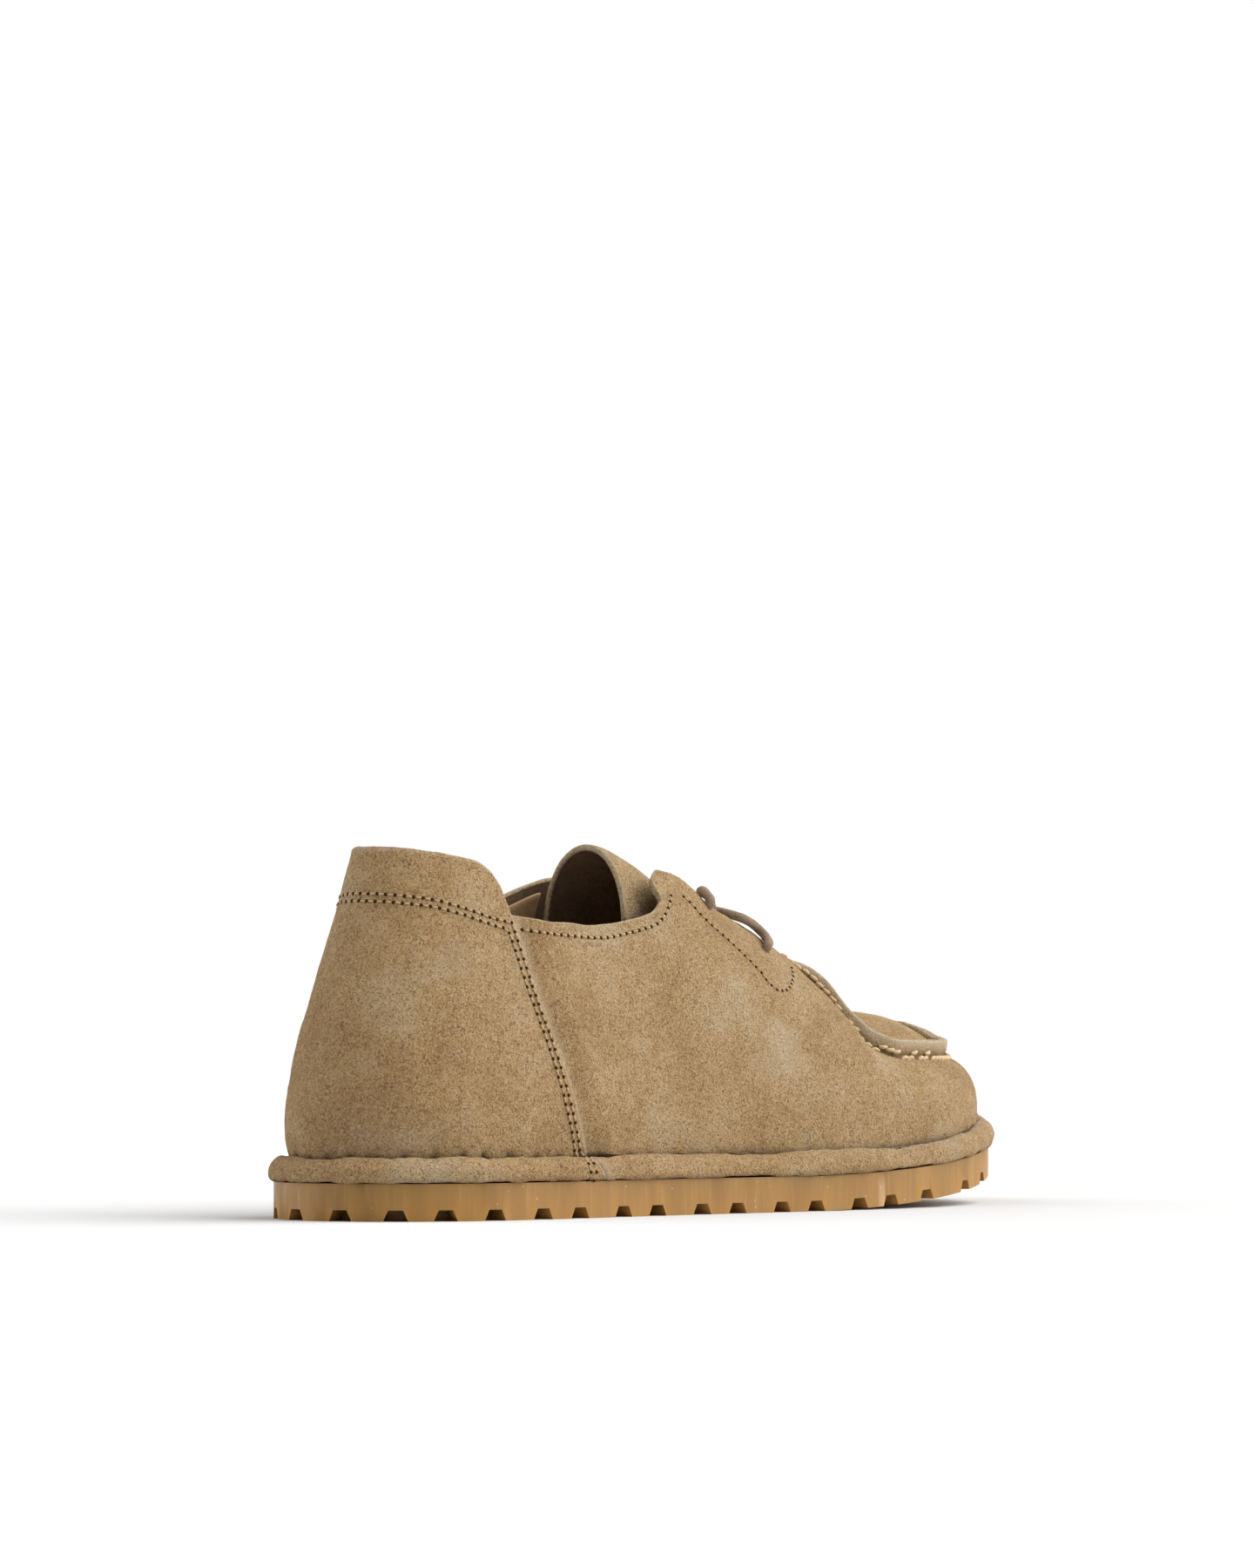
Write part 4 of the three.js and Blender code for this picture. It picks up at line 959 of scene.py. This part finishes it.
# ---- inner plies ----
def makeInnerPlies():
    def liningTop(s, which):
        return mix(collarZ(s), toplineZ(s, which), smooth((s - 0.185) / 0.035)) - 1.6

    def ply(name, shares, steps, fromAt, topAt, outAt, thickness, material, slotName, node):
        share = shares[:, None] + np.zeros((1, steps + 1))
        grid = panelGrid(share, steps, topAt, False, fromAt)
        normal = outward(grid)
        out = np.broadcast_to(outAt(abs(share), np.arange(steps + 1)[None, :]), share.shape)
        face = grid + normal * out[..., None]
        settle(plyMesh(name, face, face - normal * thickness, [material, material]), "shoe", slotName, node)

    def liningFrom(s, which):
        return wallFoot + 3 + 0 * s
    heights = columnHeights(0.24, 48, liningTop, False, liningFrom)
    ply("quarter_lining_sheepskin", np.linspace(0.385, -0.385, 221), 48, liningFrom, liningTop,
        lambda s, j: -shoe["suede"] - shoe["plyGap"] - (shoe["suede"] + shoe["gap"]) * tucked(s - 0.022, heights[j]),
        shoe["lining"], lining, "lining_leather", "quarter_lining")
    ply("heel_stiffener_board", np.linspace(0.195, -0.195, 81), 24,
        lambda s, w: wallFoot + 2 + 0 * s, lambda s, w: 62 * tall + 0 * s,
        lambda s, j: -(shoe["suede"] + shoe["gap"]) + 0 * s,
        shoe["board"], board, "stiffener_board", "heel_stiffener")
    for which, label in ((outer, "outer"), (inner, "inner")):
        shares = -which * np.linspace(0.445, 0.559, 61)
        shares = shares if which == outer else shares[::-1]
        ply(f"eyestay_backing_{label}_leather", shares, 20, lambda s, w: (eyestayRow(s) - 2) * tall,
            lambda s, w: curvePoint(wallCurve(w, s), np.ones_like(s))[..., 1] - 0.8,
            lambda s, j: -shoe["suede"] - shoe["plyGap"] + 0 * s,
            shoe["board"], lining, "lining_leather", f"eyestay_backing_{label}")


eyestayRow = keyed([(0.431, 89.6), (0.445, 84.5), (0.454, 81.5), (0.482, 74.7), (0.502, 68.1), (0.509, 64.6),
                    (0.52, 62.6), (0.53, 62.8), (0.541, 64.4), (0.552, 67), (0.56, 69.4)])
makeInnerPlies()
print("lining and stiffening made")


# ---- apron ----
apron = {"rows": 130, "middle": 64, "stand": 8, "rise": 0.7}


def makeApron():
    s = mix(throatS + 0.006, 0.9995, np.sin(np.linspace(0, 1, apron["rows"] + 1) * np.pi / 2))

    def rowsAt(lower):
        depth = shoe["suede"] + shoe["plyGap"] * 0.35 + (0 if lower else shoe["apronSuede"])
        lip = apron["rise"] + (0 if lower else shoe["apronSuede"])
        stand, foots = {}, {}
        for which in (outer, inner):
            foot, up, reach, inward = ridgeLine(which, s, np.ones_like(s))
            column = []
            for k in np.linspace(1, 0, apron["stand"]):
                height = mix(lip, ridge(s), k)
                slack = 0.5 * k * k
                flat = foot + up * height[..., None] + inward * (depth - slack)
                column.append(place(which, s, flat))
            stand[which] = column
            foots[which] = column[-1]
        bulge = np.linalg.norm(foots[outer] - foots[inner], axis=1) * 0.13
        middle = []
        for k in np.linspace(0, 1, apron["middle"])[1:-1]:
            p = mix(foots[outer], foots[inner], k)
            p[:, 2] += bulge * 4 * k * (1 - k)
            middle.append(p)
        return np.stack(stand[outer] + middle + stand[inner][::-1], axis=1)
    face, back = rowsAt(False), rowsAt(True)
    wave = 0.3 * ripple(face, 14, 11) + 0.12 * ripple(face, 5, 12)
    face[..., 2] += wave
    back[..., 2] += wave
    made = plyMesh("apron_suede", face, back, [napped, fleshSide], {"painted_shade": np.zeros(face.shape[:2])})
    settle(made, "shoe", "suede_panels", "apron")


makeApron()


# ---- tongue ----
tongue = {"halfWidth": 15.5, "rows": 90, "columns": 48}
tongueLine = keyed([(-34, 104, 22), (-21, 100, 19), (-11, 95.5, 17.5), (-2, 91.6, 17), (6, 88, 19),
                    (16, 83, 16.5), (26, 77.4, 14.5), (36, 72.6, 12.5)])


def makeTongue():
    x = np.linspace(-34, 36, tongue["rows"] + 1)[:, None]
    angle = (np.linspace(0, 1, tongue["columns"] + 1)[None, :] - 0.5) * np.pi
    line = tongueLine(x)
    crest, fall = line[..., 0], line[..., 1]

    def rowsAt(inset):
        return np.stack([x + 0 * angle, (tongue["halfWidth"] - inset) * np.sin(angle) + 0 * x,
                         crest * tall - inset - (fall - inset) * (1 - np.cos(angle))], axis=-1)
    face, back = rowsAt(0), rowsAt(shoe["tongueSuede"])
    wave = (0.35 * ripple(face, 15, 21) + 0.12 * ripple(face, 5, 22))[..., None] * gridNormals(face)
    made = plyMesh("tongue_suede", face + wave, back + wave, [napped, fleshSide], {"painted_shade": np.zeros(face.shape[:2])})
    settle(made, None, "suede_panels", "tongue")
    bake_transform(made)
    return made


makeTongue()
print("apron and tongue made")


# ---- sewing ----
def surfaceOf(made):
    mesh = made.data
    co = np.zeros(len(mesh.vertices) * 3)
    mesh.vertices.foreach_get("co", co)
    return BVHTree.FromPolygons((co.reshape(-1, 3) * 1000).tolist(), [list(p.vertices) for p in mesh.polygons])


# Lock stitches along a line on a panel: each dives into a needle hole at both ends, and each hole is a small dark pit
# of painted shade.
def sewRow(name, line, surface, node, pitch=2.6, thread=0.3, shadedHoles=True, material=None, lift=0.16, gapShare=0.34):
    along = lengths(line)
    count = max(2, int(along[-1] / pitch))
    at = np.linspace(0, along[-1], count + 1)
    ends = np.stack([np.interp(at, along, line[:, c]) for c in range(3)], axis=1)
    seated = []
    for p in ends:
        found, normal, _, _ = surface.find_nearest(Vector(p))
        towards = Vector(p) - found
        if normal.dot(towards) < 0 and towards.length > 0.25:
            normal = -normal
        seated.append((np.array(found), np.array(normal)))
    threads, holeShadeParts = [], []
    for (a, na), (b, nb) in zip(seated, seated[1:]):
        up = (na + nb) / np.linalg.norm(na + nb)
        k = np.linspace(0, 1, 7)
        run = a + (b - a) * mix(gapShare / 2, 1 - gapShare / 2, k)[:, None]
        arch = (lift + 0.3) * np.sin(k * np.pi) ** 0.6 - 0.3
        threads.append(tubeParts(run + up * arch[:, None], thread * (0.75 + 0.25 * np.sin(k * np.pi)), 8, 1.0, up))
    if shadedHoles:
        for index, (a, na) in enumerate(seated):
            b = seated[min(index + 1, len(seated) - 1)][0]
            direction = (b - a) if index + 1 < len(seated) else (a - seated[index - 1][0])
            direction = direction / np.linalg.norm(direction)
            run = a + direction * np.linspace(-0.55, 0.55, 5)[:, None] + na * 0.06
            holeShadeParts.append(tubeParts(run, np.array([0.1, 0.46, 0.56, 0.46, 0.1]), 8, 0.4, na))
    points, faces = joined(threads)
    made = makeMesh(name, points, faces, [material or seamThread])
    settle(tidied(made), "shoe", "sewing_thread", node)
    if holeShadeParts:
        points, faces = joined(holeShadeParts)
        holeShadeObject = tidied(makeMesh(name + "_needle_hole_shades", points, faces, [needleHoleShade]))
        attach(holeShadeObject, "shoe")
    return made


sewing = {"fromSeam": 2.4, "rowSpacing": 2, "threadLift": 0.7}
collarRow = keyed([(0, 87.8), (0.1, 86.8), (0.163, 84.2), (0.222, 80.4)])


def makeSewing():
    heelSurface, sideSurface = surfaceOf(heelPanel), surfaceOf(sidePanel)
    lift = sewing["threadLift"]
    for k, label in ((0, "edge_row"), (1, "second_row")):
        fromSeam = sewing["fromSeam"] + k * sewing["rowSpacing"]
        corner = seamAt(80) - fromSeam / sideLength(outer)
        below = k * sewing["rowSpacing"]

        def climb(which):
            height = np.linspace(wallFoot + 1.5, collarRow(corner) * tall - below - 0.5, 60)
            wall = atHeight(which, seamAt(height / tall) - fromSeam / sideLength(which), height, lift)
            s = np.full(len(beadLine) - 4, seamAt(14.0) - fromSeam / sideLength(which))
            flat = beadLine[2:-2] + [0, 1] * soleTop(frameAt(which, s)[0][:, :1])
            return np.vstack([place(which, s, flat), wall])
        share = np.linspace(corner, -corner, 200)
        across = atHeight(np.where(share < 0, inner, outer), abs(share), collarRow(abs(share)) * tall - below, lift)
        line = np.vstack([climb(outer), across, climb(inner)[::-1]])
        sewRow(f"heel_{label}_stitches", line, heelSurface, f"heel_thread_{label}")
    for which, label in ((outer, "outer"), (inner, "inner")):
        s = np.linspace(seamAt(80) + 0.008, 0.416, 90)
        height = toplineZ(s, which) - 2.6
        off = lift - (shoe["suede"] + shoe["gap"]) * tucked(s, height)
        sewRow(f"topline_{label}_stitches", atHeight(which, s, height, off), sideSurface, f"topline_thread_{label}")
        s = np.linspace(0.433, 0.559, 90)
        sewRow(f"eyestay_{label}_stitches", atHeight(which, s, eyestayRow(s) * tall, lift), sideSurface,
               f"eyestay_thread_{label}", pitch=2.3, thread=0.26)
    share = np.linspace(0.575, 1.425, 500)
    which, s = np.where(share > 1, inner, outer), np.where(share > 1, 2 - share, share)
    foot, up, reach, inward = ridgeLine(which, s, np.ones_like(s))
    line = place(which, s, foot + up * 0.9 - inward * 0.9)
    makeMocStitches(line, place(which, s, foot + up * 2.4 - inward * 0.9) - line)
    share = np.linspace(-0.4, 1.5, 900)
    which = np.where((share > 1) | (share < 0), inner, outer)
    s = np.where(share > 1, 2 - share, abs(share))
    rise = soleTop(frameAt(which, s)[0][..., 0])
    line = place(which, s, np.stack([np.full_like(rise, shoe["groove"] - 0.5), rise + shoe["bead"] - 0.55], axis=-1))
    makeWeltStitches(line)


moc = {"pitch": 2.8, "thread": 0.62, "slant": 0.34}


# Heavy hand stitches at the foot of the standing seam, each slanted over the next.
def makeMocStitches(line, upward):
    along = lengths(line)
    count = int(along[-1] / moc["pitch"])
    at = (np.arange(count) + 0.5) * along[-1] / count
    centre = np.stack([np.interp(at, along, line[:, c]) for c in range(3)], axis=1)
    rise = np.stack([np.interp(at, along, upward[:, c]) for c in range(3)], axis=1)
    surface = surfaceOf(sidePanel)
    parts = []
    for k in range(count):
        ahead = centre[min(k + 1, count - 1)] - centre[max(k - 1, 0)]
        ahead /= np.linalg.norm(ahead)
        up = rise[k] / np.linalg.norm(rise[k])
        found, normal, _, _ = surface.find_nearest(Vector(centre[k]))
        normal = np.array(normal)
        run = np.linspace(-1, 1, 9)[:, None]
        path = (np.array(found) + run * (ahead * 0.52 + up * moc["slant"] * 0.4) * moc["pitch"]
                + normal * (0.52 * np.cos(run * 1.45) - 0.1))
        parts.append(tubeParts(path, moc["thread"] * (0.55 + 0.45 * np.cos(run[:, 0] * 1.25)), 10, 1.0, normal))
    points, faces = joined(parts)
    made = tidied(makeMesh("moc_seam_stitches", points, faces, [mocThread]))
    settle(made, "shoe", "sewing_thread", "moc_seam_thread")


# The welt thread lies in the groove and shows where it pulls the bead in.
def makeWeltStitches(line):
    along = lengths(line)
    count = int(along[-1] / (panel["pullPitch"] / 2))
    at = np.linspace(0, along[-1], count + 1)
    parts = []
    for a, b in zip(at, at[1:]):
        run = np.linspace(a + 0.4, b - 0.4, 7)
        path = np.stack([np.interp(run, along, line[:, c]) for c in range(3)], axis=1)
        k = np.linspace(0, 1, 7)
        path[:, 2] += 0.25 * np.sin(k * np.pi) - 0.35
        parts.append(tubeParts(path, 0.38, 8))
    points, faces = joined(parts)
    settle(tidied(makeMesh("welt_stitches", points, faces, [weltThread])), "shoe", "sewing_thread", "welt_thread")


makeSewing()
print("sewing made")


# ---- lace ----
lace = {"diameter": 2.6, "nap": 0.4, "eyeletS": (0.468, 0.53), "eyeletIn": (5.5, 11)}
laceRadius = lace["diameter"] / 2
laceLift = shoe["gap"] + laceRadius


def fromEdge(which, s, distance, out):
    curve = wallCurve(which, np.array(s))
    edge = curvePoint(curve, np.array(1.0))[1] - distance * curveTangent(curve, np.array(1.0))[1]
    return skinAt(which, np.array(s), shareBelow(curve, edge), out)


def eyeletPoint(which, k, out):
    return fromEdge(which, lace["eyeletS"][k], lace["eyeletIn"][k], out)


def onTongue(x, y, lift):
    crest, fall = tongueLine(x)
    turn = math.asin(y / tongue["halfWidth"])
    normal = np.array([fall * math.sin(turn), tongue["halfWidth"] * math.cos(turn)])
    middle = np.array([y, crest * tall - fall * (1 - math.cos(turn))])
    middle += normal / np.linalg.norm(normal) * (laceLift + lace["nap"] + lift)
    return np.array([x, *middle])


def onFootbed(x, y):
    return np.array([x, y, soleTop(x) + coverBase + shoe["cover"] + 1.2 + laceLift + 0.3])


def makeLace():
    underSkin = -(shoe["suede"] + shoe["plyGap"] + shoe["board"] + shoe["gap"] + laceRadius)

    def overEdge(which, s, lift):
        return skinAt(which, s, 1.0, laceLift + lift)

    def tuckedEnd(which, far):
        return [eyeletPoint(which, 0, underSkin), (-3, which * 21, 72), (4, which * 25.5, 60), (16, which * 29, 46),
                (32, which * 30, 34), onFootbed(48, which * 27), onFootbed(far - 18, which * 20),
                onFootbed(far, which * 8), onFootbed(far - 4, which * -2), onFootbed(far - 20, which * -1)]

    def through(which, k):
        return [eyeletPoint(which, k, laceLift), eyeletPoint(which, k, -shoe["suede"] / 2)]

    def onFacing(which):
        return fromEdge(which, 0.538, 5.5, laceLift)
    points = [
        *tuckedEnd(outer, 92)[::-1], *through(outer, 0)[::-1],
        overEdge(outer, 0.472, 0.2), (5, -10.7, 91.4), (10, -9.4, 89.9), onTongue(12.5, -7.5, 0.3),
        onTongue(16, 0, 0), onTongue(20, 8, 0), overEdge(inner, 0.542, 1.2), onFacing(inner), *through(inner, 1),
        eyeletPoint(inner, 1, underSkin - 1), onTongue(24, 10.4, 0.2), onTongue(24, 7, 0), onTongue(24.5, 0, 0),
        onTongue(24, -7, 0), onTongue(24, -10.4, 0.2), eyeletPoint(outer, 1, underSkin - 1),
        *through(outer, 1)[::-1], onFacing(outer), overEdge(outer, 0.539, 0.1), overEdge(outer, 0.519, 0.3),
        (14.5, -3.5, 87.0), onTongue(8, 4, 0.8), onTongue(2, 10, 0.4), overEdge(inner, 0.475, 3.2),
        *through(inner, 0), *tuckedEnd(inner, 66)]
    line = curveThrough([np.asarray(p, float) for p in points], False, 24)
    length = lengths(line)[-1]
    line = respaced(line, int(length / 0.8))
    taper = np.ones(len(line))
    taper[[0, -1]] = 0.6
    ring, faces = tubeParts(line, laceRadius * taper, 16)
    centre = np.repeat(line, 16, axis=0)
    away = (ring - centre) / laceRadius
    ring = ring + away * (0.09 * ripple(ring, 1.6, 31) + 0.05 * ripple(ring, 0.8, 32))[:, None]
    plain = {"painted_shade": np.zeros(len(ring)), "rawEdge": np.zeros(len(ring))}
    made = tidied(makeMesh("lace_round_suede", ring, faces, [laceSuede], plain))
    settle(made, "shoe", "lace_cord", "lace")
    print("lace made,", round(length), "mm long")


makeLace()

bpy.context.view_layer.update()
print("all pieces made")
